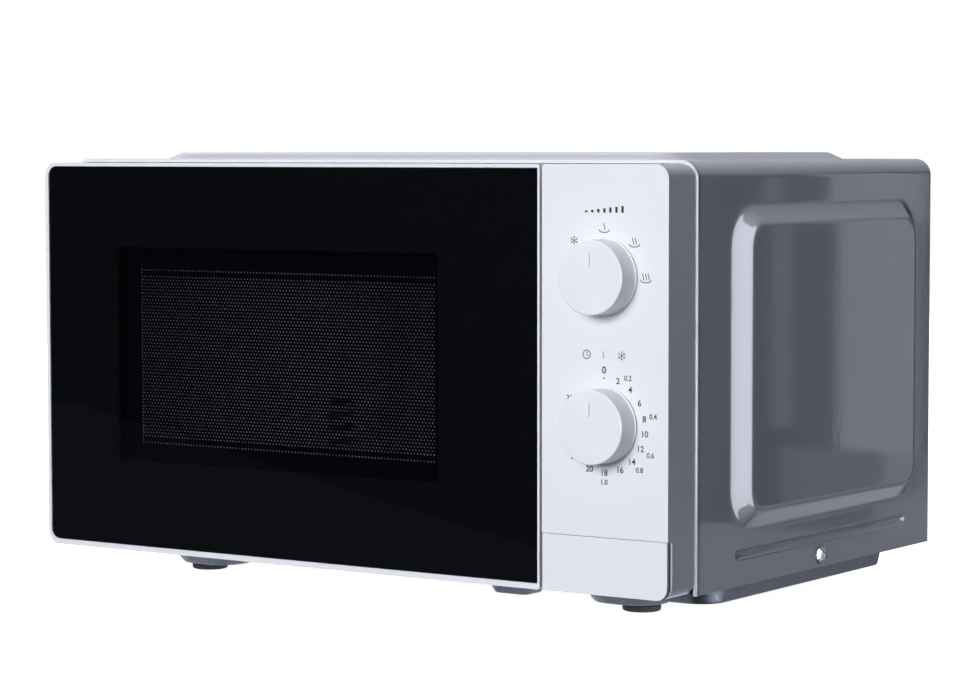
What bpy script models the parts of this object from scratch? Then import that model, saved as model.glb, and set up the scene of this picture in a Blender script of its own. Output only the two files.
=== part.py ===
"""Countertop microwave oven, 20 litre class, with two dials and a push-button door release.

Everything is drawn in millimetres in the row frame and scaled to metres when a mesh is made.
Origin: centre of the bounding box on the floor. The front faces -Y, right is +X, up is +Z.
"""
import math

import bmesh
import bpy
from mathutils import Matrix, Vector

MM = 0.001

# Cabinet
BODY_HALF_W = 220.0
CASE_BOTTOM = 19.0
CASE_TOP = 253.0
CASE_FRONT = -127.0
CASE_REAR = 154.0
CASE_CORNER_R = 10.0
SHEET = 0.8
SIDE_EMBOSS = 7.0
TOP_EMBOSS = 4.2
REAR_BUMP = 170.0

# Front
FACE_Y = -155.0
FRONT_BOTTOM = 19.6
FRONT_TOP = 251.2
DOOR_LEFT = -220.0
DOOR_RIGHT = 138.2
PANEL_LEFT = 139.8
PANEL_RIGHT = 219.5
DOOR_REAR = -128.5
PANEL_REAR = -127.3
PLATE_FRONT = -127.6
PLATE_REAR = -126.8
HINGE_X = -213.5
HINGE_Y = -136.0

# Window
WIN_LEFT = -163.8
WIN_RIGHT = 70.4
WIN_BOTTOM = 75.0
WIN_TOP = 201.4

# Controls
KNOB_X = 179.5
POWER_Z = 191.2
TIMER_Z = 111.5
KNOB_R = 21.0
KNOB_H = 15.0
BUTTON_TOP = 50.9
BUTTON_TRAVEL = 2.5

# Latch
HOOK_LIFT = 3.0
LEVER_Y = -121.0
LEVER_Z = 41.0

# Cavity and turntable
CAV_LEFT = -196.0
CAV_RIGHT = 110.0
CAV_FLOOR = 32.0
CAV_TOP = 232.0
CAV_REAR = 160.0
TRACK_DEPTH = 1.5
TURN_X = -43.0
TURN_Y = 15.0
TRAY_R = 122.5
ROLLER_R = 7.3
ROLLER_TRACK_R = 91.5

# Fan
FAN_X = 166.0
FAN_Z = 165.0

# Feet
FOOT_X = 156.5
FOOT_FRONT_Y = -78.0
FOOT_REAR_Y = 132.0


def clear_scene():
    for obj in list(bpy.data.objects):
        bpy.data.objects.remove(obj, do_unlink=True)


def collection(name, hidden):
    coll = bpy.data.collections.new(name)
    bpy.context.scene.collection.children.link(coll)
    coll.hide_render = hidden
    return coll


clear_scene()
PARTS = collection("microwave_oven", False)
CUTTERS = collection("cutters", True)


# ---------------------------------------------------------------- materials

def material(name, rgb, roughness, metallic=0.0):
    mat = bpy.data.materials.new(name)
    mat.use_nodes = True
    shader = mat.node_tree.nodes["Principled BSDF"]
    shader.inputs["Base Color"].default_value = (rgb[0], rgb[1], rgb[2], 1.0)
    shader.inputs["Roughness"].default_value = roughness
    shader.inputs["Metallic"].default_value = metallic
    mat.diffuse_color = (rgb[0], rgb[1], rgb[2], 1.0)
    return mat


WHITE_ENAMEL = material("white_enamel", (0.72, 0.73, 0.77), 0.25)
WHITE_PLASTIC = material("white_plastic", (0.80, 0.81, 0.84), 0.30)
BLACK_GLASS = material("black_glass", (0.010, 0.012, 0.015), 0.06)
BLACK_PAINT = material("black_paint", (0.015, 0.015, 0.016), 0.45)
CAVITY_PAINT = material("cavity_paint", (0.55, 0.56, 0.57), 0.40)
ZINC = material("galvanised_steel", (0.55, 0.56, 0.58), 0.40, 1.0)
SCREW_ZINC = material("screw_zinc", (0.75, 0.76, 0.78), 0.25, 1.0)
LAMINATION = material("lamination_steel", (0.20, 0.20, 0.21), 0.55, 0.8)
COPPER = material("enamelled_copper", (0.55, 0.22, 0.08), 0.35, 1.0)
RUBBER = material("black_rubber", (0.02, 0.02, 0.02), 0.80)
GREY_PLASTIC = material("grey_plastic", (0.25, 0.26, 0.27), 0.50)
NATURAL_PLASTIC = material("natural_plastic", (0.70, 0.68, 0.60), 0.45)
CLEAR_GLASS = material("turntable_glass", (0.62, 0.72, 0.68), 0.05)
MICA = material("mica", (0.45, 0.38, 0.28), 0.60)
SPRING_STEEL = material("spring_steel", (0.60, 0.60, 0.62), 0.30, 1.0)
BRASS = material("brass", (0.80, 0.60, 0.25), 0.30, 1.0)
BOARD_GREEN = material("circuit_board", (0.05, 0.20, 0.10), 0.50)
ALUMINIUM = material("aluminium", (0.80, 0.80, 0.82), 0.35, 1.0)
BULB = material("bulb_glass", (0.85, 0.80, 0.65), 0.10)


# ------------------------------------------------------------- flat outlines

def arc_points(cu, cv, r, a0, a1, n):
    pts = []
    for i in range(n + 1):
        a = math.radians(a0 + (a1 - a0) * i / n)
        pts.append((cu + r * math.cos(a), cv + r * math.sin(a)))
    return pts


def round_rect(u0, u1, v0, v1, r, n=4):
    """Rounded rectangle, counterclockwise; r is one radius or four (u0v0, u1v0, u1v1, u0v1)."""
    radii = r if isinstance(r, (tuple, list)) else (r, r, r, r)
    corners = [
        (u0, v0, 1, 1, 180),
        (u1, v0, -1, 1, 270),
        (u1, v1, -1, -1, 0),
        (u0, v1, 1, -1, 90),
    ]
    pts = []
    for (u, v, su, sv, a), rad in zip(corners, radii):
        if rad <= 0.0:
            pts.append((u, v))
        else:
            pts += arc_points(u + su * rad, v + sv * rad, rad, a, a + 90, n)
    return pts


def circle(u, v, r, n=16):
    return [(u + r * math.cos(2 * math.pi * i / n), v + r * math.sin(2 * math.pi * i / n)) for i in range(n)]


def along(axis):
    """Map flat (u, v) plus a height w along the axis to X, Y, Z."""
    if axis == "x":
        return lambda u, v, w: Vector((w, u, v))
    if axis == "y":
        return lambda u, v, w: Vector((u, w, v))
    return lambda u, v, w: Vector((u, v, w))


# --------------------------------------------------------------- solid tools

def face_out(bm):
    bmesh.ops.remove_doubles(bm, verts=bm.verts, dist=0.0005)
    bmesh.ops.recalc_face_normals(bm, faces=bm.faces)
    return bm


def baked(obj):
    """The evaluated mesh of a scratch object as a bmesh; the object is removed."""
    CUTTERS.objects.link(obj)
    graph = bpy.context.evaluated_depsgraph_get()
    mesh = bpy.data.meshes.new_from_object(obj.evaluated_get(graph))
    bm = bmesh.new()
    bm.from_mesh(mesh)
    bpy.data.meshes.remove(mesh)
    bpy.data.objects.remove(obj)
    return bm


def stand(bm, axis):
    """Turn a solid drawn along Z so that (u, v, w) lies along the wanted axis."""
    to3d = along(axis)
    for vert in bm.verts:
        vert.co = to3d(*vert.co)
    return face_out(bm)


def prism(outline, axis, w0, w1):
    """Closed solid: a filled flat curve, extruded from w0 to w1 along an axis."""
    curve = bpy.data.curves.new("outline", "CURVE")
    curve.dimensions = "2D"
    curve.fill_mode = "BOTH"
    curve.extrude = (w1 - w0) / 2
    spline = curve.splines.new("POLY")
    spline.points.add(len(outline) - 1)
    for point, (u, v) in zip(spline.points, outline):
        point.co = (u, v, 0.0, 1.0)
    spline.use_cyclic_u = True
    bm = baked(bpy.data.objects.new("outline", curve))
    bmesh.ops.translate(bm, verts=bm.verts, vec=(0, 0, (w0 + w1) / 2))
    return stand(bm, axis)


def block(x0, x1, y0, y1, z0, z1):
    bm = bmesh.new()
    bmesh.ops.create_cube(bm, size=1.0)
    bmesh.ops.scale(bm, verts=bm.verts, vec=(x1 - x0, y1 - y0, z1 - z0))
    bmesh.ops.translate(bm, verts=bm.verts, vec=((x0 + x1) / 2, (y0 + y1) / 2, (z0 + z1) / 2))
    return bm


def rod(axis, u, v, r, w0, w1, n=16):
    bm = bmesh.new()
    bmesh.ops.create_cone(bm, cap_ends=True, segments=n, radius1=r, radius2=r, depth=w1 - w0)
    bmesh.ops.translate(bm, verts=bm.verts, vec=(u, v, (w0 + w1) / 2))
    return stand(bm, axis)


def turned(profile, axis, u, v, n=32):
    """Closed solid of revolution; the profile is (radius, position), open where it meets the axis."""
    mesh = bpy.data.meshes.new("profile")
    count = len(profile)
    last = count - 1 if profile[0][0] == 0.0 else count
    edges = [(i, (i + 1) % count) for i in range(last)]
    mesh.from_pydata([(r, 0.0, w) for r, w in profile], edges, [])
    obj = bpy.data.objects.new("profile", mesh)
    mod = obj.modifiers.new("turn", "SCREW")
    mod.steps = n
    mod.render_steps = n
    mod.use_merge_vertices = True
    mod.merge_threshold = 0.0001
    bm = baked(obj)
    bpy.data.meshes.remove(mesh)
    bmesh.ops.translate(bm, verts=bm.verts, vec=(u, v, 0))
    return stand(bm, axis)


def merged(*solids):
    """Several separate solids in one mesh, for one cut."""
    bm = bmesh.new()
    for solid in solids:
        mesh = bpy.data.meshes.new("scratch")
        solid.to_mesh(mesh)
        bm.from_mesh(mesh)
        solid.free()
        bpy.data.meshes.remove(mesh)
    return bm


def add_object(name, bm, mat, origin, coll):
    base = Vector(origin)
    for vert in bm.verts:
        vert.co = (vert.co - base) * MM
    mesh = bpy.data.meshes.new(name)
    bm.to_mesh(mesh)
    bm.free()
    obj = bpy.data.objects.new(name, mesh)
    obj.location = base * MM
    if mat is not None:
        mesh.materials.append(mat)
    coll.objects.link(obj)
    return obj


def part(name, bm, mat, origin=(0.0, 0.0, 0.0)):
    return add_object(name, bm, mat, origin, PARTS)


def combine(obj, bm, operation):
    tool = add_object(obj.name + "_tool", bm, None, (0.0, 0.0, 0.0), CUTTERS)
    tool.display_type = "WIRE"
    tool.hide_render = True
    mod = obj.modifiers.new(operation.lower(), "BOOLEAN")
    mod.operation = operation
    mod.solver = "EXACT"
    mod.object = tool
    return obj


def cut(obj, *solids):
    return combine(obj, merged(*solids), "DIFFERENCE")


def join(obj, *solids):
    for solid in solids:
        combine(obj, solid, "UNION")
    return obj


def thicken(obj, thickness):
    """Give a sheet its thickness on the side its faces don't point to."""
    mod = obj.modifiers.new("sheet", "SOLIDIFY")
    mod.thickness = thickness * MM
    mod.offset = -1.0
    mod.use_even_offset = True
    mod.use_quality_normals = True
    return obj


def smooth(obj, angle=35.0):
    for poly in obj.data.polygons:
        poly.use_smooth = True
    obj.data.set_sharp_from_angle(angle=math.radians(angle))
    return obj


# ---------------------------------------------------------------- sheet tools

def feature(loops, cap=True, inner=()):
    """A pressed shape in a sheet: loops of (outline, height), from outside to inside."""
    return {"loops": loops, "cap": cap, "inner": list(inner)}


def hole(outline):
    return feature([(outline, None)], cap=False)


def emboss(u0, u1, v0, v1, r, height, slope, n=4, inner=(), base=0.0):
    """Rounded rectangle raised by height over a slope with softened top and bottom edges."""
    steps = [(0.0, 0.0), (0.17, 0.08), (0.83, 0.92), (1.0, 1.0)]
    loops = []
    for s, h in steps:
        inset = slope * s
        radii = r if isinstance(r, (tuple, list)) else (r, r, r, r)
        radii = tuple(max(rad - inset, 1.0) for rad in radii)
        outline = round_rect(u0 + inset, u1 - inset, v0 + inset, v1 - inset, radii, n)
        loops.append((outline, base + height * h))
    return feature(loops, inner=inner)


def fill_region(bm, to3d, ring, height, features):
    """Fill a flat ring of vertices round its features, then build each feature."""
    edges = [edge_between(bm, ring[i], ring[(i + 1) % len(ring)]) for i in range(len(ring))]
    starts = []
    for feat in features:
        outline, h0 = feat["loops"][0]
        h0 = height if h0 is None else h0
        loop = [bm.verts.new(to3d(u, v, h0)) for u, v in outline]
        starts.append(loop)
        edges += [edge_between(bm, loop[i], loop[(i + 1) % len(loop)]) for i in range(len(loop))]
    bmesh.ops.triangle_fill(bm, use_beauty=True, use_dissolve=False, edges=edges)
    for feat, loop in zip(features, starts):
        h = height
        for outline, h in feat["loops"][1:]:
            nxt = [bm.verts.new(to3d(u, v, h)) for u, v in outline]
            count = len(nxt)
            for i in range(count):
                j = (i + 1) % count
                bm.faces.new((loop[i], loop[j], nxt[j], nxt[i]))
            loop = nxt
        if feat["cap"]:
            if feat["inner"]:
                fill_region(bm, to3d, loop, h, feat["inner"])
            else:
                bm.faces.new(loop)


def edge_between(bm, a, b):
    edge = bm.edges.get((a, b))
    return edge if edge is not None else bm.edges.new((a, b))


def sheet_region(bm, to3d, outline, features=(), height=0.0):
    ring = [bm.verts.new(to3d(u, v, height)) for u, v in outline]
    fill_region(bm, to3d, ring, height, list(features))


def orient(bm, probe, normal):
    """Make the faces agree, with the one nearest to the probe point facing along normal."""
    bmesh.ops.remove_doubles(bm, verts=bm.verts, dist=0.001)
    bmesh.ops.recalc_face_normals(bm, faces=bm.faces)
    bm.normal_update()
    broad = [f for f in bm.faces if f.calc_area() > 2.0]
    near = min(broad, key=lambda f: (f.calc_center_median() - Vector(probe)).length)
    if near.normal.dot(Vector(normal)) < 0:
        bmesh.ops.reverse_faces(bm, faces=bm.faces)
    return bm


# ------------------------------------------------------------------- cabinet

def case_section(h):
    """Points of the inverted U, from the left bottom round to the right bottom, offset out by h."""
    r = CASE_CORNER_R
    w = BODY_HALF_W
    pts = [(-w - h, CASE_BOTTOM)]
    pts += arc_points(-w + r, CASE_TOP - r, r + h, 180, 90, 5)
    pts += arc_points(w - r, CASE_TOP - r, r + h, 90, 0, 5)
    pts.append((w + h, CASE_BOTTOM))
    return pts


def side_features():
    panel = emboss(-90.4, 133.0, 48.0, 230.0, 24.0, SIDE_EMBOSS, 13.4)
    groove = feature([
        (round_rect(-84.0, 122.0, 33.6, 39.4, 2.9, 3), 0.0),
        (round_rect(-82.2, 120.2, 35.4, 37.6, 1.1, 3), -2.0),
    ])
    dimple = feature([
        (circle(15.0, 26.2, 5.8, 14), 0.0),
        (circle(15.0, 26.2, 4.8, 14), -1.0),
        (circle(15.0, 26.2, 2.1, 14), -1.0),
    ], cap=False)
    return [panel, groove, dimple]


def build_wrapper():
    bm = bmesh.new()
    r = CASE_CORNER_R
    w = BODY_HALF_W
    front = CASE_FRONT + 3.0
    edge = CASE_TOP - r
    upright = [(front, CASE_BOTTOM), (CASE_REAR, CASE_BOTTOM), (CASE_REAR, edge), (front, edge)]
    sheet_region(bm, lambda u, v, h: Vector((-w - h, u, v)), upright, side_features())
    sheet_region(bm, lambda u, v, h: Vector((w + h, u, v)), upright, side_features())
    lid = [(-w + r, front), (w - r, front), (w - r, CASE_REAR), (-w + r, CASE_REAR)]
    raised = emboss(-190.0, 190.0, -92.5, 117.0, 22.0, TOP_EMBOSS, 12.0)
    sheet_region(bm, lambda u, v, h: Vector((u, v, CASE_TOP + h)), lid, [raised])
    flat = case_section(0.0)
    for k in list(range(1, 6)) + list(range(7, 12)):
        (xa, za), (xb, zb) = flat[k], flat[k + 1]
        corners = [(xa, front, za), (xb, front, zb), (xb, CASE_REAR, zb), (xa, CASE_REAR, za)]
        bm.faces.new([bm.verts.new(c) for c in corners])
    stations = [(front, 0.0), (front - 0.7, 0.5), (CASE_FRONT, 0.5)]
    for (ya, ha), (yb, hb) in zip(stations, stations[1:]):
        sa, sb = case_section(ha), case_section(hb)
        for k in range(len(sa) - 1):
            quad = [(sa[k], ya), (sa[k + 1], ya), (sb[k + 1], yb), (sb[k], yb)]
            bm.faces.new([bm.verts.new((p[0], y, p[1])) for p, y in quad])
    orient(bm, (0.0, 10.0, CASE_TOP + TOP_EMBOSS), (0, 0, 1))
    smooth(thicken(part("outer_wrapper", bm, WHITE_ENAMEL), SHEET), 50)


def build_base_pan():
    floor = CASE_BOTTOM + 0.4
    depth = floor - 10.8
    foot_level = floor - 4.9

    def boss(side):
        """Drawn seat of a front foot, longer toward the middle of the pan."""
        lo, hi = sorted((side * 123.0, side * 177.0))
        y0, y1 = FOOT_FRONT_Y - 23.0, FOOT_FRONT_Y + 23.0
        return feature([
            (round_rect(lo, hi, y0, y1, 22.0, 4), depth),
            (round_rect(lo + 6.5, hi - 6.5, y0 + 6.5, y1 - 6.5, 15.5, 4), foot_level),
        ], inner=[hole(circle(side * FOOT_X, FOOT_FRONT_Y, 2.2, 12))])

    def cone(x, y):
        return feature([
            (circle(x, y, 18.5, 12), 0.0),
            (circle(x, y, 12.0, 12), foot_level),
            (circle(x, y, 2.2, 12), foot_level),
        ], cap=False)

    pad = feature([
        (round_rect(65.5, 96.0, -102.5, -77.0, 7.0, 3), depth),
        (round_rect(70.5, 92.0, -98.0, -81.5, 4.0, 3), depth + 5.0),
    ])
    low = [boss(-1), boss(1), pad]
    for i in range(5):
        y = -44.0 + 11.0 * i
        low.append(hole(round_rect(120.0, 190.0, y, y + 4.0, 1.9, 1)))
    tray = emboss(-218.2, 218.2, -106.1, 108.6, 17.6, depth, 2.6, inner=low)
    outline = [(-218.8, -125.0), (218.8, -125.0), (218.8, 152.4), (-218.8, 152.4)]
    bm = bmesh.new()
    rear = [cone(-FOOT_X, FOOT_REAR_Y), cone(FOOT_X, FOOT_REAR_Y)]
    sheet_region(bm, lambda u, v, h: Vector((u, v, floor - h)), outline, [tray] + rear)
    orient(bm, (0.0, 0.0, 10.8), (0, 0, -1))
    smooth(thicken(part("base_pan", bm, ZINC), SHEET), 50)


def build_back_panel():
    outline = round_rect(-218.6, 218.6, 20.8, 251.6, (0.0, 0.0, 8.8, 8.8), 3)
    bump = emboss(-207.0, 121.0, 22.6, 243.0, 14.0, REAR_BUMP - 153.6, 6.0, n=3)
    feats = [bump]
    for i in range(7):
        x = 138.0 + 9.0 * i
        feats.append(hole(round_rect(x, x + 4.4, 138.0, 192.0, 2.0, 1)))
    for i in range(4):
        z = 78.0 + 9.0 * i
        feats.append(hole(round_rect(138.0, 196.0, z, z + 4.0, 1.9, 1)))
    feats.append(hole(circle(150.0, 48.0, 7.4, 16)))
    feats.append(hole(circle(212.0, 236.0, 2.2, 10)))
    bm = bmesh.new()
    sheet_region(bm, lambda u, v, h: Vector((u, 153.6 + h, v)), outline, feats)
    orient(bm, (-40.0, 170.0, 130.0), (0, 1, 0))
    smooth(thicken(part("back_panel", bm, ZINC), SHEET), 50)


def build_front_plate():
    outline = [(-217.6, 21.0), (139.0, 21.0), (139.0, 22.4), (216.6, 22.4), (216.6, 243.0), (211.0, 248.4),
               (138.4, 248.4), (138.4, 251.0), (-210.0, 251.0), (-217.6, 243.4)]
    obj = part("front_plate", prism(outline, "y", PLATE_FRONT, PLATE_REAR), WHITE_ENAMEL)
    y0, y1 = PLATE_FRONT - 5, PLATE_REAR + 5
    mouth = prism(round_rect(CAV_LEFT, CAV_RIGHT, CAV_FLOOR, CAV_TOP, 3.0, 2), "y", y0, y1)
    hooks = [block(120.0, 131.5, y0, y1, z, z + 28.0) for z in (48.0, 190.0)]
    post = block(142.0, 151.5, y0, y1, 27.5, 36.0)
    timer = block(156.0, 203.0, y0, y1, 86.0, 216.0)
    arms = [block(-217.1, -208.8, y0, y1, z, z + 4.0) for z in (26.6, 240.4)]
    cut(obj, mouth, post, timer, *hooks, *arms)


def build_cavity():
    x0, x1, y0, y1 = CAV_LEFT, CAV_RIGHT, PLATE_REAR + 0.3, CAV_REAR
    z0, z1 = CAV_FLOOR, CAV_TOP
    bm = bmesh.new()
    track = feature([
        (circle(TURN_X, TURN_Y, 128.0, 40), 0.0),
        (circle(TURN_X, TURN_Y, 125.5, 40), TRACK_DEPTH),
        (circle(TURN_X, TURN_Y, 8.0, 40), TRACK_DEPTH),
    ], cap=False)
    flat = [(x0, y0), (x1, y0), (x1, y1), (x0, y1)]
    sheet_region(bm, lambda u, v, h: Vector((u, v, z0 - h)), flat, [track])
    sheet_region(bm, lambda u, v, h: Vector((u, v, z1 + h)), flat)
    wall = [(y0, z0), (y1, z0), (y1, z1), (y0, z1)]
    outlet = [hole(round_rect(-16.0, 76.0, 96.0, 154.0, 3.0, 1)), hole(circle(110.0, 190.0, 10.0, 12))]
    for i in range(4):
        outlet.append(hole(round_rect(-105.0, -75.0, 160.0 + 9 * i, 164.0 + 9 * i, 1.9, 1)))
    sheet_region(bm, lambda u, v, h: Vector((x1 + h, u, v)), wall, outlet)
    inlet = [hole(round_rect(95.0, 125.0, 60.0 + 9 * i, 64.0 + 9 * i, 1.9, 1)) for i in range(4)]
    sheet_region(bm, lambda u, v, h: Vector((x0 - h, u, v)), wall, inlet)
    back = [(x0, z0), (x1, z0), (x1, z1), (x0, z1)]
    sheet_region(bm, lambda u, v, h: Vector((u, y1 + h, v)), back)
    orient(bm, (0.0, 20.0, z1), (0, 0, -1))
    smooth(thicken(part("cavity_shell", bm, CAVITY_PAINT), SHEET), 50)


def build_feet():
    spots = [
        ("foot_front_left", -FOOT_X, FOOT_FRONT_Y),
        ("foot_front_right", FOOT_X, FOOT_FRONT_Y),
        ("foot_rear_left", -FOOT_X, FOOT_REAR_Y),
        ("foot_rear_right", FOOT_X, FOOT_REAR_Y),
    ]
    for name, x, y in spots:
        profile = [(0, 0), (10.0, 0), (11.0, 1.0), (11.0, 4.2), (1.8, 4.2), (1.8, 9.0), (0, 9.0)]
        smooth(part(name, turned(profile, "z", x, y, 16), RUBBER, (x, y, 0)))


def build_screw(name, axis, u, v, face, out):
    """Pan-head screw: the head stands on the face, out is +1 or -1 along the axis."""
    rise = [(0, 2.3), (2.4, 2.1), (4.0, 0.9), (4.0, 0.2), (1.6, 0.2), (1.6, -8.0), (0, -8.0)]
    profile = [(r, face + out * h) for r, h in rise]
    obj = part(name, turned(profile, axis, u, v, 12), SCREW_ZINC)
    near, far = sorted((face + out * 1.2, face + out * 4.0))
    for du, dv in ((2.2, 0.45), (0.45, 2.2)):
        outline = [(u - du, v - dv), (u + du, v - dv), (u + du, v + dv), (u - du, v + dv)]
        cut(obj, prism(outline, axis, near, far))
    smooth(obj)


def build_cord_gland():
    profile = [(3.4, 150.0), (7.0, 150.0), (7.0, 153.9), (10.5, 153.9), (10.5, 156.5), (3.4, 156.5)]
    obj = part("cord_gland", turned(profile, "y", 150.0, 48.0, 16), RUBBER, (150.0, 153.0, 48.0))
    smooth(obj)


# ---------------------------------------------------------------------- door

def build_door_frame():
    outline = round_rect(DOOR_LEFT, DOOR_RIGHT, FRONT_BOTTOM, FRONT_TOP, (8.0, 2.0, 2.0, 8.0), 4)
    obj = part("door_frame", prism(outline, "y", FACE_Y, DOOR_REAR), WHITE_PLASTIC, (HINGE_X, HINGE_Y, 0))
    recess = prism(round_rect(-217.6, 136.8, 22.8, 249.2, (6.2, 0, 0, 6.2), 4), "y", FACE_Y - 1, -151.6)
    window = block(-172.0, 79.0, -153.0, -148.0, 67.0, 209.0)
    pocket = prism(round_rect(-217.4, 135.8, 22.4, 248.4, (5.6, 0, 0, 5.6), 3), "y", -149.4, -127.0)
    cut(obj, recess)
    cut(obj, window)
    cut(obj, pocket)
    edge = prism([(-221, -131.9), (-219.99, -132.6), (-214.8, -127.4), (-221, -127.4)], "z", 10.0, 260.0)
    cut(obj, edge)
    notches = [block(-221.0, -216.9, -142.2, -127.0, z, z + 5.0) for z in (26.0, 239.9)]
    cut(obj, *notches)
    smooth(obj, 40)


def build_door_glass():
    outline = round_rect(-217.4, 136.5, 23.0, 249.0, (6.0, 0.4, 0.4, 6.0), 4)
    part("door_glass", prism(outline, "y", FACE_Y + 0.1, -151.8), BLACK_GLASS, (HINGE_X, HINGE_Y, 0))


def build_door_inner():
    obj = part("door_panel", block(-216.6, 116.0, -140.6, -131.0, 33.0, 239.0), ZINC, (HINGE_X, HINGE_Y, 0))
    cut(obj, block(-215.8, 115.2, -139.8, -130.0, 33.8, 238.2))
    cut(obj, block(-170.0, 76.0, -142.0, -138.0, 74.0, 202.0))
    cut(obj, rod("z", HINGE_X, HINGE_Y, 2.3, 20.0, 250.0, 12))
    part("door_screen", block(-174.0, 80.0, -141.7, -140.9, 70.0, 206.0), BLACK_PAINT, (HINGE_X, HINGE_Y, 0))
    film = block(-171.0, 77.0, -131.9, -131.3, 73.0, 203.0)
    part("inner_window_film", film, CLEAR_GLASS, (HINGE_X, HINGE_Y, 0))
    cover = part("choke_cover", block(-206.0, 134.4, -130.7, -128.7, 23.0, 247.8), GREY_PLASTIC,
                 (HINGE_X, HINGE_Y, 0))
    cut(cover, block(-167.0, 73.0, -132.0, -127.0, 77.0, 199.0))
    slots = [block(120.0, 130.0, -132.0, -127.0, z, z + 26.0) for z in (49.0, 191.0)]
    cut(cover, *slots)


def build_hinges():
    for name, z, pin_to in (("hinge_bracket_bottom", 27.6, 36.0), ("hinge_bracket_top", 241.4, 236.0)):
        arm = round_rect(HINGE_X - 3.4, HINGE_X + 3.8, HINGE_Y - 3.6, -124.8, (3.2, 3.2, 0, 0), 3)
        obj = part(name, prism(arm, "z", z, z + 2.0), ZINC, (HINGE_X, HINGE_Y, z))
        low = 22.5 if z < 100 else 228.0
        leg = block(HINGE_X - 3.4, -199.0, -126.4, -124.8, low, low + 20.0)
        pin0, pin1 = sorted((pin_to, z + 1.0))
        join(obj, leg, rod("z", HINGE_X, HINGE_Y, 2.0, pin0, pin1, 12))


def build_latch():
    bar = block(122.0, 128.0, -144.0, -138.0, 52.0, 214.0)
    obj = part("door_latch", bar, NATURAL_PLASTIC, (125.0, -141.0, 52.0))
    for z in (56.0, 198.0):
        outline = [(-141.0, z), (-114.5, z), (-113.0, z - 4.0), (-110.0, z - 4.0), (-108.0, z + 4.0),
                   (-109.0, z + 12.0), (-141.0, z + 12.0)]
        join(obj, prism(outline, "x", 122.0, 128.0))
    join(obj, block(123.0, 127.0, -139.0, -132.4, 126.0, 129.0))


def coil(name, axis, u, v, w0, w1, radius, wire, turns, mat, origin):
    """Open coil spring drawn as a round wire along a helix."""
    to3d = along(axis)
    steps = turns * 9
    curve = bpy.data.curves.new(name + "_path", "CURVE")
    curve.dimensions = "3D"
    curve.bevel_depth = wire / 2 * MM
    curve.bevel_resolution = 0
    curve.use_fill_caps = True
    spline = curve.splines.new("POLY")
    spline.points.add(steps)
    for i in range(steps + 1):
        a = 2 * math.pi * turns * i / steps
        p = to3d(u + radius * math.cos(a), v + radius * math.sin(a), w0 + (w1 - w0) * i / steps)
        spline.points[i].co = ((p - Vector(origin)) * MM).to_4d()
    temp = bpy.data.objects.new(name + "_path", curve)
    CUTTERS.objects.link(temp)
    mesh = bpy.data.meshes.new_from_object(temp)
    bm = bmesh.new()
    bm.from_mesh(mesh)
    bmesh.ops.remove_doubles(bm, verts=bm.verts, dist=1e-6)
    bmesh.ops.recalc_face_normals(bm, faces=bm.faces)
    bm.to_mesh(mesh)
    bm.free()
    mesh.name = name
    bpy.data.objects.remove(temp)
    obj = bpy.data.objects.new(name, mesh)
    obj.location = Vector(origin) * MM
    mesh.materials.clear()
    mesh.materials.append(mat)
    PARTS.objects.link(obj)
    return smooth(obj)


def build_springs():
    coil("latch_spring", "z", 125.0, -134.6, 98.0, 125.2, 2.6, 0.7, 6, SPRING_STEEL, (125.0, -134.6, 98.0))
    coil("button_spring", "y", 192.0, 35.5, -151.4, -129.0, 4.5, 0.8, 6, SPRING_STEEL, (192.0, -129.0, 35.5))


# ------------------------------------------------------------- control panel

def build_panel():
    outline = round_rect(PANEL_LEFT, PANEL_RIGHT, FRONT_BOTTOM, FRONT_TOP, (2.0, 7.5, 7.7, 2.0), 4)
    obj = part("control_panel", prism(outline, "y", FACE_Y, PANEL_REAR), WHITE_PLASTIC)
    cut(obj, block(PANEL_LEFT - 5, PANEL_RIGHT - 2.3, -128.2, -120.0, 21.9, FRONT_TOP - 2.3))
    inside = round_rect(PANEL_LEFT + 2.2, PANEL_RIGHT - 2.2, 53.4, FRONT_TOP - 2.2, (0, 0, 5.6, 0), 3)
    pocket = prism(inside, "y", -152.4, -127)
    cut(obj, pocket)
    cut(obj, block(130.0, 230.0, -156.0, -150.6, 10.0, 51.2))
    below = round_rect(PANEL_LEFT + 2.2, PANEL_RIGHT - 2.2, 21.8, 51.2, (0, 5.4, 0, 0), 3)
    bay = prism(below, "y", -151.5, -127)
    cut(obj, bay)
    holes = [rod("y", KNOB_X, z, 4.2, -157.0, -150.0, 20) for z in (POWER_Z, TIMER_Z)]
    cut(obj, *holes)
    smooth(obj, 40)


def build_button():
    plate = round_rect(PANEL_LEFT + 0.3, 219.0, 19.6, BUTTON_TOP, (1.0, 7.2, 1.0, 1.0), 4)
    obj = part("open_button", prism(plate, "y", FACE_Y, -153.4), WHITE_PLASTIC, (KNOB_X, FACE_Y, 35.0))
    join(obj, block(143.0, 182.0, -153.6, -139.0, 23.6, 47.4))
    cut(obj, block(144.6, 180.4, -153.4, -138.0, 25.2, 45.8))
    join(obj, block(144.0, 149.0, -154.0, -122.9, 30.5, 33.0))
    smooth(obj, 40)


def knob(name, z):
    y = FACE_Y
    profile = [
        (0.0, y - 10.5), (3.2, y - 10.5), (3.2, y - 0.4), (KNOB_R, y - 0.4), (KNOB_R, y - 1.8),
        (20.5, y - 2.2), (20.2, y - 12.6), (19.7, y - 14.2), (18.6, y - KNOB_H), (0.0, y - KNOB_H),
    ]
    obj = part(name, turned(profile, "y", KNOB_X, z, 40), WHITE_PLASTIC, (KNOB_X, y, z))
    cut(obj, block(KNOB_X - 0.4, KNOB_X + 0.4, y - 17, y - KNOB_H + 0.5, z + 6.6, z + 15.2))
    smooth(obj)


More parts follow.
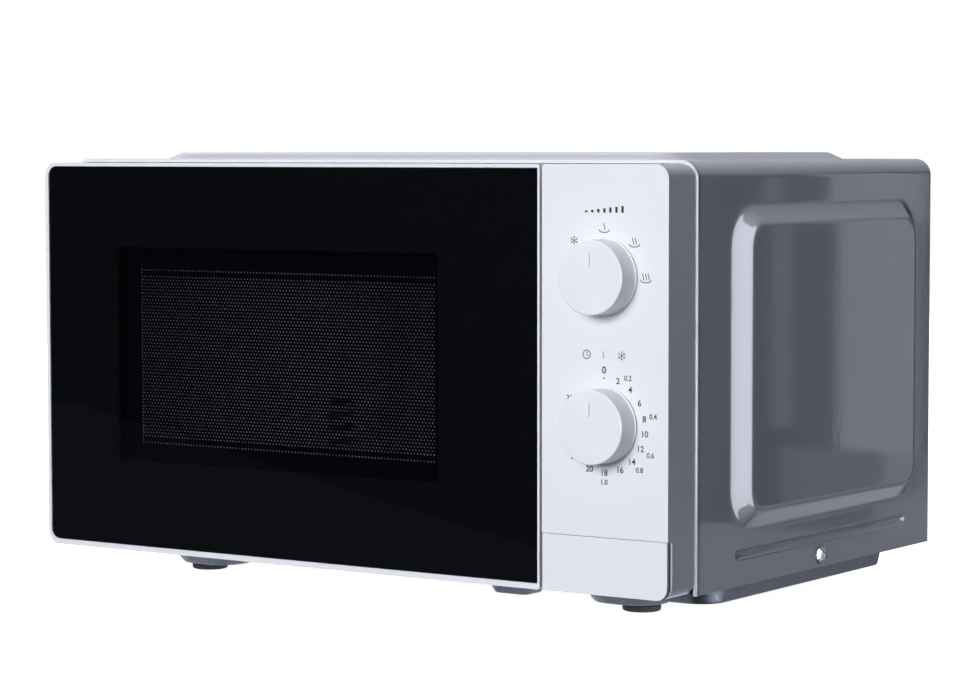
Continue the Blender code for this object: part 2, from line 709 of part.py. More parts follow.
def build_controls():
    knob("power_knob", POWER_Z)
    knob("timer_knob", TIMER_Z)
    for name, z in (("power_shaft", POWER_Z), ("timer_shaft", TIMER_Z)):
        smooth(part(name, rod("y", KNOB_X, z, 3.0, -165.0, -120.0, 16), SCREW_ZINC, (KNOB_X, FACE_Y, z)))
    obj = part("timer_mechanism", block(160.0, 199.0, -146.0, -113.0, 92.0, 211.0), ZINC)
    for z in (POWER_Z, TIMER_Z):
        join(obj, rod("y", KNOB_X, z, 7.0, -151.0, -145.0, 20))
    cut(obj, *[rod("y", KNOB_X, z, 3.25, -152.0, -119.0, 16) for z in (POWER_Z, TIMER_Z)])
    dome = [(0.0, -112.7), (13.0, -112.7), (15.5, -111.5), (15.5, -110.0), (12.0, -106.5), (6.0, -104.6),
            (0.0, -104.2)]
    smooth(part("timer_bell", turned(dome, "y", KNOB_X, 151.0, 16), BRASS, (KNOB_X, -112.7, 151.0)))


# ----------------------------------------------------------- latch machinery

def build_latch_board():
    obj = part("latch_board", block(132.4, 138.0, -126.3, -98.0, 36.0, 228.0), NATURAL_PLASTIC)
    for z in (48.6, 190.6):
        join(obj, block(119.0, 134.0, -124.0, -118.5, z, z + 3.0))
        join(obj, block(116.0, 119.4, -124.0, -118.5, z, z + 24.0))
    cut(obj, rod("x", LEVER_Y, LEVER_Z, 2.2, 130.0, 140.0, 16))


def build_release_lever():
    obj = part("release_lever", rod("x", LEVER_Y, LEVER_Z, 2.0, 120.6, 151.0, 16), NATURAL_PLASTIC,
               (0, LEVER_Y, LEVER_Z))
    arm = [(-122.0, 39.4), (-110.0, 42.5), (-108.5, 44.0), (-108.5, 51.4), (-112.6, 51.4), (-112.6, 46.0),
           (-122.0, 42.4)]
    join(obj, prism(arm, "x", 121.6, 128.4))
    join(obj, block(143.0, 150.6, -122.5, -119.5, 29.0, 41.0))


def build_switches():
    spots = [("door_switch_upper", 196.0), ("door_switch_lower", 62.0), ("door_monitor_switch", 88.0)]
    for name, z in spots:
        obj = part(name, block(138.4, 148.6, -125.0, -98.5, z, z + 15.5), GREY_PLASTIC)
        join(obj, block(141.5, 145.5, -126.3, -124.0, z + 6.0, z + 9.0))
        for y in (-116.0, -104.0):
            join(obj, block(148.0, 154.0, y, y + 4.0, z + 7.0, z + 8.0))


# ------------------------------------------------------------ high voltage bay

def build_magnetron():
    obj = part("magnetron_body", block(131.6, 206.0, -22.0, 62.0, 85.0, 165.0), ZINC)
    cut(obj, block(133.2, 204.4, -30.0, 70.0, 86.6, 163.4))
    join(obj, rod("x", 20.0, 125.0, 20.0, 132.0, 205.0, 14))
    for i in range(4):
        x = 150.0 + 12.0 * i
        join(obj, block(x, x + 1.0, -18.0, 58.0, 86.0, 164.0))
    join(obj, rod("x", 20.0, 125.0, 9.0, 116.0, 133.0, 16))
    smooth(obj)


def build_waveguide():
    obj = part("waveguide", block(111.2, 131.2, -20.0, 80.0, 92.0, 158.0), ZINC)
    cut(obj, block(100.0, 130.2, -19.0, 79.0, 93.0, 157.0))
    cut(obj, rod("x", 20.0, 125.0, 10.5, 125.0, 135.0, 16))
    part("mica_cover", block(108.6, 109.4, -24.0, 84.0, 88.0, 162.0), MICA)


def build_transformer():
    obj = part("transformer_core", block(116.0, 202.0, -28.0, 38.0, 14.5, 76.0), LAMINATION)
    cut(obj, block(131.0, 148.0, -40.0, 50.0, 27.0, 63.0), block(170.0, 187.0, -40.0, 50.0, 27.0, 63.0))
    ring = prism(round_rect(132.0, 186.0, -42.0, 52.0, 8.0, 3), "z", 28.0, 62.0)
    winding = part("transformer_winding", ring, COPPER)
    cut(winding, block(147.0, 171.0, -29.0, 39.0, 20.0, 70.0))
    smooth(winding)


def build_capacitor():
    can = prism(round_rect(128.0, 178.0, 68.0, 102.0, 15.0, 4), "z", 22.0, 82.0)
    obj = part("hv_capacitor", can, ALUMINIUM)
    for x in (144.0, 162.0):
        join(obj, block(x, x + 5.0, 84.6, 85.4, 81.0, 90.0))
    smooth(obj)
    strap = prism(round_rect(126.6, 179.4, 66.6, 103.4, 16.4, 4), "z", 44.0, 58.0)
    band = part("capacitor_clamp", strap, ZINC)
    cut(band, prism(round_rect(127.7, 178.3, 67.7, 102.3, 15.3, 4), "z", 40.0, 62.0))
    join(band, block(179.0, 192.0, 84.5, 85.5, 44.0, 58.0))
    smooth(band)
    diode = part("hv_diode", rod("y", 198.0, 51.0, 3.6, 66.0, 88.0, 12), BLACK_PAINT)
    join(diode, rod("y", 198.0, 51.0, 0.8, 58.0, 96.0, 8))
    smooth(diode)


def build_fan():
    motor = part("fan_motor", block(142.0, 190.0, 100.0, 122.0, 138.0, 184.0), LAMINATION)
    join(motor, block(150.0, 182.0, 97.0, 125.0, 132.0, 141.0))
    cut(motor, rod("y", FAN_X, FAN_Z, 2.8, 90.0, 130.0, 12))
    shroud = part("fan_shroud", block(120.0, 212.0, 128.6, 150.0, 119.0, 211.0), GREY_PLASTIC)
    cut(shroud, rod("y", FAN_X, FAN_Z, 43.5, 120.0, 160.0, 32))
    smooth(shroud)
    hub = rod("y", FAN_X, FAN_Z, 11.0, 132.0, 146.0, 20)
    blade = part("fan_blade", hub, GREY_PLASTIC, (FAN_X, 139.0, FAN_Z))
    join(blade, rod("y", FAN_X, FAN_Z, 2.4, 103.0, 133.0, 12))
    for i in range(7):
        wing = block(-9.0, 9.0, -0.7, 0.7, 8.0, 40.0)
        bmesh.ops.rotate(wing, verts=wing.verts, matrix=Matrix.Rotation(math.radians(32), 3, "Z"))
        bmesh.ops.rotate(wing, verts=wing.verts, matrix=Matrix.Rotation(2 * math.pi * i / 7, 3, "Y"))
        bmesh.ops.translate(wing, verts=wing.verts, vec=(FAN_X, 139.0, FAN_Z))
        join(blade, wing)
    smooth(blade)


def build_lamp():
    holder = part("lamp_holder", rod("x", 110.0, 190.0, 14.0, 111.2, 134.0, 20), NATURAL_PLASTIC)
    cut(holder, rod("x", 110.0, 190.0, 12.4, 105.0, 126.0, 20))
    smooth(holder)
    globe = [(0.0, 112.4), (6.0, 113.4), (9.4, 117.0), (8.6, 121.4), (5.0, 125.4), (0.0, 125.4)]
    smooth(part("cavity_lamp", turned(globe, "x", 110.0, 190.0, 16), BULB))


def build_small_electrics():
    board = part("noise_filter_board", block(130.0, 205.0, -92.0, -34.0, 228.0, 229.6), BOARD_GREEN)
    join(board, rod("z", 150.0, -64.0, 10.0, 229.0, 243.0, 16))
    join(board, block(172.0, 190.0, -76.0, -64.0, 229.0, 241.0))
    join(board, block(172.0, 196.0, -56.0, -50.0, 229.0, 236.0))
    smooth(board)
    disc = [(0.0, 165.3), (9.0, 165.3), (9.0, 168.0), (6.0, 168.0), (6.0, 173.0), (0.0, 173.0)]
    smooth(part("thermal_cutout", turned(disc, "z", 170.0, 20.0, 16), BLACK_PAINT))


# ------------------------------------------------------------------ turntable

def build_turntable():
    top = CAV_FLOOR - TRACK_DEPTH
    centre = (TURN_X, TURN_Y, top)
    motor = part("turntable_motor", rod("z", TURN_X, TURN_Y, 24.5, 14.0, 29.2, 24), ZINC)
    cut(motor, rod("z", TURN_X, TURN_Y, 3.2, 17.0, 32.0, 12))
    smooth(motor)
    shaft = [(0.0, 18.0), (2.9, 18.0), (2.9, 31.6), (9.0, 31.6), (9.0, 45.1), (0.0, 45.1)]
    coupler = part("turntable_coupler", turned(shaft, "z", TURN_X, TURN_Y, 16), NATURAL_PLASTIC, centre)
    for i in range(3):
        wing = block(4.0, 17.0, -3.0, 3.0, 38.0, 45.1)
        bmesh.ops.rotate(wing, verts=wing.verts, matrix=Matrix.Rotation(2 * math.pi * i / 3, 3, "Z"))
        bmesh.ops.translate(wing, verts=wing.verts, vec=(TURN_X, TURN_Y, 0))
        join(coupler, wing)
    axle_z = top + 0.3 + ROLLER_R
    hoop = [(80.0, axle_z - 2.6), (85.5, axle_z - 2.6), (85.5, axle_z + 2.6), (80.0, axle_z + 2.6)]
    ring = part("roller_ring", turned(hoop, "z", TURN_X, TURN_Y, 36), NATURAL_PLASTIC, centre)
    for i in range(3):
        angle = math.radians(90 + 120 * i)
        turn = Matrix.Rotation(angle, 3, "Z")
        axle = rod("x", 0.0, axle_z, 2.0, 83.0, 97.6, 12)
        stop = rod("x", 0.0, axle_z, 3.6, 96.4, 98.6, 12)
        for solid in (axle, stop):
            bmesh.ops.rotate(solid, verts=solid.verts, matrix=turn)
            bmesh.ops.translate(solid, verts=solid.verts, vec=(TURN_X, TURN_Y, 0))
            join(ring, solid)
        rim = ROLLER_R - 0.8
        wheel = [(2.2, 87.6), (rim, 87.6), (ROLLER_R, 88.4), (ROLLER_R, 94.6), (rim, 95.4), (2.2, 95.4)]
        solid = turned(wheel, "x", 0.0, axle_z, 16)
        bmesh.ops.rotate(solid, verts=solid.verts, matrix=turn)
        bmesh.ops.translate(solid, verts=solid.verts, vec=(TURN_X, TURN_Y, 0))
        hub = (TURN_X + ROLLER_TRACK_R * math.cos(angle), TURN_Y + ROLLER_TRACK_R * math.sin(angle), axle_z)
        smooth(part("roller_%d" % (i + 1), solid, NATURAL_PLASTIC, hub))
    smooth(ring)
    base = top + 0.3 + 2 * ROLLER_R + 0.3
    plate = [(0.0, base), (104.0, base), (114.0, base + 4.0), (TRAY_R, base + 13.0), (TRAY_R, base + 14.5),
             (120.5, base + 14.5), (111.0, base + 8.0), (102.0, base + 4.2), (0.0, base + 4.2)]
    dish = turned(plate, "z", TURN_X, TURN_Y, 40)
    tray = part("glass_turntable", dish, CLEAR_GLASS, (TURN_X, TURN_Y, base))
    smooth(tray)


# ---------------------------------------------------------------------- build

build_wrapper()
build_base_pan()
build_back_panel()
build_front_plate()
build_cavity()
build_feet()
build_screw("side_screw_right", "x", 15.0, 26.2, BODY_HALF_W - 1.0, 1)
build_screw("side_screw_left", "x", 15.0, 26.2, -BODY_HALF_W + 1.0, -1)
build_screw("rear_screw", "y", 212.0, 236.0, 153.6, 1)
build_cord_gland()
build_door_frame()
build_door_glass()
build_door_inner()
build_hinges()
build_latch()
build_springs()
build_panel()
build_button()
build_controls()
build_latch_board()
build_release_lever()
build_switches()
build_magnetron()
build_waveguide()
build_transformer()
build_capacitor()
build_fan()
build_lamp()
build_small_electrics()
build_turntable()
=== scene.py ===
"""Countertop microwave oven: detailed surfaces, materials, studio light and camera over the CAD frame."""
import math

import bmesh
import bpy
from mathutils import Matrix, Vector


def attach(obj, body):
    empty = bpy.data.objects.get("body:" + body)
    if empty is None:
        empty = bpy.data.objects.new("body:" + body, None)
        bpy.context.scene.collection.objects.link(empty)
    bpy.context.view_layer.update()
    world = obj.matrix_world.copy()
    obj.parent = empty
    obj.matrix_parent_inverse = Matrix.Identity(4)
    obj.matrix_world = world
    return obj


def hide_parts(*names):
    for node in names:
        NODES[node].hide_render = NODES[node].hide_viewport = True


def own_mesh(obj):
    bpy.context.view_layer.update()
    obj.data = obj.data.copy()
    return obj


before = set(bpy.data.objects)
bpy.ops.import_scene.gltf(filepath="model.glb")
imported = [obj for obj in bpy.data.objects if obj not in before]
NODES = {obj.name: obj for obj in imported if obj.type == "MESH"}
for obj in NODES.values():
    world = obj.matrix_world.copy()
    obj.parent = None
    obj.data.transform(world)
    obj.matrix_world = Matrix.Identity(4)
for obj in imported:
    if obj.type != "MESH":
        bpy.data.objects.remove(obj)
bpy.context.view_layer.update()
SCENE = bpy.context.scene
MM = 0.001
MICRON = 0.000001

# Shared sizes in millimetres, as in the CAD frame.
FACE_Y = -155.0
CASE_BOTTOM = 19.0
CASE_TOP = 253.0
CASE_FRONT = -127.0
CASE_REAR = 154.0
CASE_CORNER = 10.0
CASE_BENDS = 10
BODY_HALF_W = 220.0
SUPPORT = 2.0
SHEET = 0.8
FOOT_X = 156.5
FOOT_FRONT_Y = -78.0
FOOT_REAR_Y = 132.0
KNOB_X = 179.5
POWER_Z = 191.2
TIMER_Z = 111.5
PANEL_LEFT = 139.8
PANEL_RIGHT = 219.5
FRONT_BOTTOM = 19.6
FRONT_TOP = 251.2
WINDOW = (-163.8, 70.4, 74.0, 201.4)
TURN_X = -43.0
TURN_Y = 15.0

# Camera in metres, degrees (yaw, pitch, roll) and millimetres of lens, solved from the photograph.
CAMERA_PLACE = (1.0456, -1.5373, 0.2597)
CAMERA_TURN = (34.26, 3.777, -0.055)
LENS = 112.85
SENSOR = 36.0

# Studio, in metres: the room's level, soft lamps (place, aim, width, height, watts), upright
# gloss-only cards behind the oven (left, right, bottom, top, distance, glow), and the other
# gloss-only cards by their corners.
ROOM_COLOUR = (0.65, 0.77, 1.0)
ROOM_GLOW = 0.044
CARD_COLOUR = (0.79, 0.85, 1.0)
PAPER_GLOW = 0.97
LAMPS = [
    ("key", (0.29, -2.6, 0.74), (0.0, 0.0, 0.12), 1.3, 1.0, 70.0),
    ("overhead", (-0.45, 0.1, 2.4), (0.0, 0.0, 0.2), 1.2, 1.2, 13.0),
    ("rear_fill", (-0.7, 2.4, 1.3), (0.0, 0.0, 0.12), 1.6, 1.2, 34.0),
    ("left_fill", (-2.4, 0.2, 1.0), (0.0, 0.0, 0.12), 1.4, 1.2, 18.0),
    ("cavity_glow", (0.02, 0.03, 0.222), (0.03, 0.04, 0.0), 0.22, 0.18, 0.24),
]
CARDS = [
    ("window_card", 1.225, 1.372, -0.155, 0.60, 2.2, 1.0),
    ("gap_card", 1.372, 1.445, -0.155, 0.60, 2.2, 0.14),
    ("strip_card", 1.445, 1.475, -0.13, 0.32, 2.2, 0.5),
    ("edge_card", 1.575, 1.80, -0.27, 0.60, 2.2, 0.46),
    ("side_card", 0.80, 1.225, -0.155, 0.60, 2.2, 0.36),
    ("corner_card", 0.80, 1.30, -0.27, -0.155, 2.2, 0.80),
    ("low_card", 1.30, 1.46, -0.27, -0.155, 2.2, 0.38),
    ("floor_card", 0.50, 1.80, -0.55, -0.27, 2.2, 0.7),
    ("near_card", -1.5, 1.8, -1.0, -0.55, 2.2, 0.6),
    ("ground_card", -1.5, 1.8, -2.2, -1.0, 2.2, 1.0),
    ("upper_card", 0.2, 1.5, 0.75, 2.2, 2.4, 0.50),
    ("left_card", -3.6, -1.2, -0.2, 3.2, 2.4, 0.80),
    ("mid_card", -1.2, 0.2, -0.2, 2.0, 2.4, 0.40),
]
PLACED_CARDS = [
    ("under_card", [(-0.30, -0.16, -0.01), (0.20, -0.16, -0.01), (0.20, 0.25, -0.01),
                    (-0.30, 0.25, -0.01)], 1.5),
    ("table_card", [(-2.6, -2.0, -0.09), (-1.85, -2.0, -0.10), (-1.08, -2.0, -0.25), (-0.4, -2.0, -0.38),
                    (-0.4, -2.0, -1.5), (-2.6, -2.0, -1.5)], 0.12),
    ("right_card", [(2.2, -0.8, -1.4), (2.2, 1.4, -1.4), (2.2, 1.4, 1.8), (2.2, -0.8, 1.8)], 6.2),
    ("key_card", [(-0.36, -2.58, 0.26), (0.94, -2.58, 0.26), (0.94, -2.82, 1.22), (-0.36, -2.82, 1.22)], 2.5),
    ("hem_card", [(2.2, -2.4, -0.2), (2.2, -0.8, -0.2), (2.2, -0.8, 0.9), (2.2, -2.4, 0.9)], 14.0),
]


# ---------------------------------------------------------------- small helpers

def add_object(name, data):
    obj = bpy.data.objects.new(name, data)
    SCENE.collection.objects.link(obj)
    return obj


def empty_tree(owner):
    """The emptied node tree of a material or a world."""
    owner.use_nodes = True
    owner.node_tree.nodes.clear()
    return owner.node_tree


def shader_node(tree, kind, values=()):
    """A new shader node with the given input values."""
    node = tree.nodes.new("ShaderNode" + kind)
    for socket, value in dict(values).items():
        node.inputs[socket].default_value = value
    return node


# ------------------------------------------------------------ camera and studio

def make_camera():
    data = bpy.data.cameras.new("camera")
    data.sensor_width = SENSOR
    data.lens = LENS
    cam = add_object("camera", data)
    yaw, pitch, roll = [math.radians(angle) for angle in CAMERA_TURN]
    turn = Matrix.Rotation(yaw, 4, "Z")
    turn = turn @ Matrix.Rotation(math.pi / 2 - pitch, 4, "X") @ Matrix.Rotation(roll, 4, "Z")
    cam.matrix_world = Matrix.Translation(CAMERA_PLACE) @ turn
    SCENE.camera = cam


def area_light(name, place, aim, width, height, power):
    """A soft white lamp that is not seen in reflections; the cards take that part."""
    data = bpy.data.lights.new(name, "AREA")
    data.shape = "RECTANGLE"
    data.size = width
    data.size_y = height
    data.energy = power
    lamp = add_object(name, data)
    lamp.location = place
    lamp.rotation_mode = "QUATERNION"
    lamp.rotation_quaternion = (Vector(aim) - Vector(place)).to_track_quat("-Z", "Y")
    lamp.visible_glossy = False


def card(name, corners, glow):
    """A soft reflector that shows only in glossy surfaces, and not after a diffuse bounce."""
    mesh = bpy.data.meshes.new(name)
    mesh.from_pydata(corners, [], [tuple(range(len(corners)))])
    obj = add_object(name, mesh)
    mat = bpy.data.materials.new(name)
    tree = empty_tree(mat)
    out = shader_node(tree, "OutputMaterial")
    emit = shader_node(tree, "Emission", {"Color": (*CARD_COLOUR, 1.0)})
    path = shader_node(tree, "LightPath")
    first = shader_node(tree, "Math", {1: 0.5})
    first.operation = "LESS_THAN"
    level = shader_node(tree, "Math", {1: glow})
    level.operation = "MULTIPLY"
    tree.links.new(path.outputs["Diffuse Depth"], first.inputs[0])
    tree.links.new(first.outputs[0], level.inputs[0])
    tree.links.new(level.outputs[0], emit.inputs["Strength"])
    tree.links.new(emit.outputs[0], out.inputs["Surface"])
    mesh.materials.append(mat)
    obj.visible_camera = False
    obj.visible_diffuse = False
    obj.visible_shadow = False
    obj.visible_transmission = False


def make_world():
    """A dim blue room for the lighting, and white paper behind the oven for the camera."""
    world = bpy.data.worlds.new("studio")
    SCENE.world = world
    tree = empty_tree(world)
    out = shader_node(tree, "OutputWorld")
    mix = shader_node(tree, "MixShader")
    path = shader_node(tree, "LightPath")
    room = shader_node(tree, "Background", {"Color": (*ROOM_COLOUR, 1.0), "Strength": ROOM_GLOW})
    paper = shader_node(tree, "Background", {"Color": (1.0, 1.0, 1.0, 1.0), "Strength": 1.0})
    tree.links.new(path.outputs["Is Camera Ray"], mix.inputs[0])
    tree.links.new(room.outputs[0], mix.inputs[1])
    tree.links.new(paper.outputs[0], mix.inputs[2])
    tree.links.new(mix.outputs[0], out.inputs["Surface"])


def make_floor():
    mesh = bpy.data.meshes.new("studio_floor")
    bm = bmesh.new()
    bmesh.ops.create_circle(bm, cap_ends=True, segments=96, radius=6.0)
    bmesh.ops.translate(bm, verts=bm.verts, vec=(0.0, 0.0, -0.0005))
    bm.to_mesh(mesh)
    bm.free()
    floor = add_object("studio_floor", mesh)
    mat = bpy.data.materials.new("studio_floor")
    mat.use_nodes = True
    shader = mat.node_tree.nodes["Principled BSDF"]
    shader.inputs["Base Color"].default_value = (0.93, 0.93, 0.94, 1.0)
    shader.inputs["Roughness"].default_value = 0.9
    shader.inputs["Emission Color"].default_value = (1.0, 1.0, 1.0, 1.0)
    shader.inputs["Emission Strength"].default_value = PAPER_GLOW
    mesh.materials.append(mat)
    floor.visible_diffuse = False
    floor.visible_glossy = False


def make_studio():
    make_world()
    make_floor()
    for name, place, aim, width, height, power in LAMPS:
        area_light(name, place, aim, width, height, power)
    for name, x0, x1, z0, z1, y, glow in CARDS:
        card(name, [(x0, y, z0), (x1, y, z0), (x1, y, z1), (x0, y, z1)], glow)
    for name, corners, glow in PLACED_CARDS:
        card(name, corners, glow)
    SCENE.view_settings.view_transform = "Standard"


# ------------------------------------------------------------------- materials

class Finish:
    """A procedural material: a Principled shader with detail fed by object-space patterns."""

    def __init__(self, name, colour, roughness, metallic=0.0):
        self.mat = bpy.data.materials.new(name)
        self.mat.use_nodes = True
        self.tree = self.mat.node_tree
        self.shader = self.tree.nodes["Principled BSDF"]
        self.colour = colour
        self.set("Base Color", (*colour, 1.0))
        self.set("Roughness", roughness)
        self.set("Metallic", metallic)
        self.coords = shader_node(self.tree, "TexCoord")

    def set(self, socket, value):
        self.shader.inputs[socket].default_value = value
        return self

    def link(self, a, b):
        self.tree.links.new(a, b)

    def place(self, stretch=(1.0, 1.0, 1.0)):
        """Object coordinates for a pattern, scaled along each axis."""
        node = shader_node(self.tree, "Mapping", {"Scale": stretch})
        self.link(self.coords.outputs["Object"], node.inputs["Vector"])
        return node.outputs["Vector"]

    def noise(self, scale, detail=2.0, rough=0.5, stretch=(1.0, 1.0, 1.0)):
        node = shader_node(self.tree, "TexNoise", {"Scale": scale, "Detail": detail, "Roughness": rough})
        self.link(self.place(stretch), node.inputs["Vector"])
        return node.outputs["Fac"]

    def spangles(self, scale):
        """A random grey for each crystal of a zinc coat."""
        node = shader_node(self.tree, "TexVoronoi", {"Scale": scale})
        self.link(self.place(), node.inputs["Vector"])
        grey = shader_node(self.tree, "RGBToBW")
        self.link(node.outputs["Color"], grey.inputs[0])
        return grey.outputs[0]

    def bands(self, scale, direction, distortion):
        """Fine parallel stripes, one after another along the given axis."""
        node = shader_node(self.tree, "TexWave", {"Scale": scale, "Distortion": distortion})
        node.wave_type = "BANDS"
        node.bands_direction = direction
        self.link(self.place(), node.inputs["Vector"])
        return node.outputs["Fac"]

    def vary_roughness(self, fac, low, high):
        limits = {"From Min": 0.3, "From Max": 0.7, "To Min": low, "To Max": high}
        node = shader_node(self.tree, "MapRange", limits)
        self.link(fac, node.inputs["Value"])
        self.link(node.outputs["Result"], self.shader.inputs["Roughness"])

    def vary_colour(self, fac, other, start=0.35, stop=0.65):
        ramp = shader_node(self.tree, "ValToRGB")
        ramp.color_ramp.elements[0].position = start
        ramp.color_ramp.elements[0].color = (*self.colour, 1.0)
        ramp.color_ramp.elements[1].position = stop
        ramp.color_ramp.elements[1].color = (*other, 1.0)
        self.link(fac, ramp.inputs["Fac"])
        self.link(ramp.outputs["Color"], self.shader.inputs["Base Color"])

    def bump(self, fac, microns):
        """Surface relief of the given height."""
        node = shader_node(self.tree, "Bump", {"Strength": 1.0, "Distance": microns * MICRON})
        self.link(fac, node.inputs["Height"])
        self.link(node.outputs["Normal"], self.shader.inputs["Normal"])


def enamel(name, colour, roughness):
    """Glossy paint on pressed steel, with the sheet's slight ripple."""
    f = Finish(name, colour, roughness)
    f.set("Coat Weight", 0.25).set("Coat Roughness", 0.03)
    f.vary_roughness(f.noise(90.0, 3.0), roughness * 0.8, roughness * 1.3)
    f.vary_colour(f.noise(7.0, 2.0), tuple(c * 0.985 for c in colour), 0.3, 0.7)
    f.bump(f.noise(220.0, 1.0, 0.4), 14)
    return f.mat


def moulded(name, colour, roughness, grain=20.0, scale=1800.0, coat=0.0, wear=0.04):
    """Moulded plastic: grain is its height in microns and scale its fineness."""
    f = Finish(name, colour, roughness)
    f.set("Coat Weight", coat).set("Coat Roughness", 0.08)
    f.vary_roughness(f.noise(240.0, 3.0), roughness - wear, roughness + wear)
    f.vary_colour(f.noise(9.0, 1.0), tuple(c * 0.99 for c in colour), 0.3, 0.7)
    f.bump(f.noise(scale, 2.0), grain)
    return f.mat


def matt_print(name, colour):
    """Ink fired on the back of the glass, with almost no shine of its own."""
    f = Finish(name, colour, 0.6)
    f.set("Specular IOR Level", 0.06)
    f.vary_roughness(f.noise(300.0, 2.0), 0.55, 0.7)
    f.bump(f.noise(900.0, 2.0), 2)
    return f.mat


def galvanised(name, colour=(0.52, 0.53, 0.55), roughness=0.38, spangles=95.0):
    """Zinc coated steel with its crystals showing."""
    f = Finish(name, colour, roughness, 1.0)
    grey = f.spangles(spangles)
    f.vary_roughness(grey, roughness - 0.04, roughness + 0.08)
    f.vary_colour(grey, tuple(c * 0.9 for c in colour), 0.2, 0.8)
    f.bump(f.noise(700.0, 3.0), 20)
    return f.mat


def brushed(name, colour, roughness):
    """Metal brushed along X."""
    f = Finish(name, colour, roughness, 1.0)
    lines = f.noise(60.0, 4.0, 0.7, stretch=(1.0, 40.0, 40.0))
    f.vary_roughness(lines, roughness - 0.08, roughness + 0.1)
    f.vary_colour(f.noise(25.0, 2.0), tuple(c * 0.9 for c in colour))
    f.bump(lines, 10)
    return f.mat


def turned_metal(name, colour, roughness):
    f = Finish(name, colour, roughness, 1.0)
    f.vary_roughness(f.noise(900.0, 3.0), roughness - 0.06, roughness + 0.1)
    f.vary_colour(f.noise(300.0, 2.0), tuple(c * 0.82 for c in colour))
    f.bump(f.noise(1500.0, 2.0), 12)
    return f.mat


def layered(name, colour, other, roughness, metallic, scale, direction, depth):
    """Stacked laminations or wound wire: fine parallel bands."""
    f = Finish(name, colour, roughness, metallic)
    lines = f.bands(scale, direction, 0.4)
    f.vary_colour(lines, other, 0.1, 0.9)
    f.vary_roughness(f.noise(400.0, 3.0), roughness - 0.08, roughness + 0.12)
    f.bump(lines, depth)
    return f.mat


def rubbery(name):
    f = Finish(name, (0.018, 0.018, 0.019), 0.72)
    f.vary_roughness(f.noise(500.0, 3.0), 0.62, 0.85)
    f.vary_colour(f.noise(120.0, 3.0), (0.035, 0.034, 0.033))
    f.bump(f.noise(2600.0, 2.0), 30)
    return f.mat


def clear_glass(name, tint):
    """Moulded glass with a slow wave in its surface."""
    f = Finish(name, tint, 0.0)
    f.set("Transmission Weight", 1.0).set("IOR", 1.5)
    f.bump(f.noise(45.0, 1.0), 40)
    return f.mat


def thin_pane(name, film, gloss_rough, reflectance):
    """A flat pane seen straight through: tinted film with a mirror-like face."""
    mat = bpy.data.materials.new(name)
    tree = empty_tree(mat)
    out = shader_node(tree, "OutputMaterial")
    mix = shader_node(tree, "MixShader")
    through = shader_node(tree, "BsdfTransparent", {"Color": (*film, 1.0)})
    gloss = shader_node(tree, "BsdfGlossy", {"Roughness": gloss_rough})
    facing = shader_node(tree, "LayerWeight")
    steep = shader_node(tree, "Math", {1: 5.0})
    steep.operation = "POWER"
    shine = shader_node(tree, "MapRange", {"To Min": reflectance, "To Max": 0.9})
    coords = shader_node(tree, "TexCoord")
    noise = shader_node(tree, "TexNoise", {"Scale": 9.0, "Detail": 1.0})
    bump = shader_node(tree, "Bump", {"Distance": 60 * MICRON})
    tree.links.new(coords.outputs["Object"], noise.inputs["Vector"])
    tree.links.new(noise.outputs["Fac"], bump.inputs["Height"])
    tree.links.new(bump.outputs["Normal"], gloss.inputs["Normal"])
    tree.links.new(facing.outputs["Facing"], steep.inputs[0])
    tree.links.new(steep.outputs[0], shine.inputs["Value"])
    tree.links.new(shine.outputs[0], mix.inputs[0])
    tree.links.new(through.outputs[0], mix.inputs[1])
    tree.links.new(gloss.outputs[0], mix.inputs[2])
    tree.links.new(mix.outputs[0], out.inputs["Surface"])
    return mat


def knob_face():
    """White plastic with fine turned rings, which stretch its highlight across the face."""
    f = Finish("knob_face", (0.765, 0.78, 0.825), 0.34)
    f.set("Anisotropic", 0.85)
    tangent = shader_node(f.tree, "Tangent")
    tangent.direction_type = "RADIAL"
    tangent.axis = "Y"
    f.link(tangent.outputs[0], f.shader.inputs["Tangent"])
    f.vary_roughness(f.noise(500.0, 2.0), 0.3, 0.4)
    f.bump(f.noise(1600.0, 2.0), 8)
    return f.mat


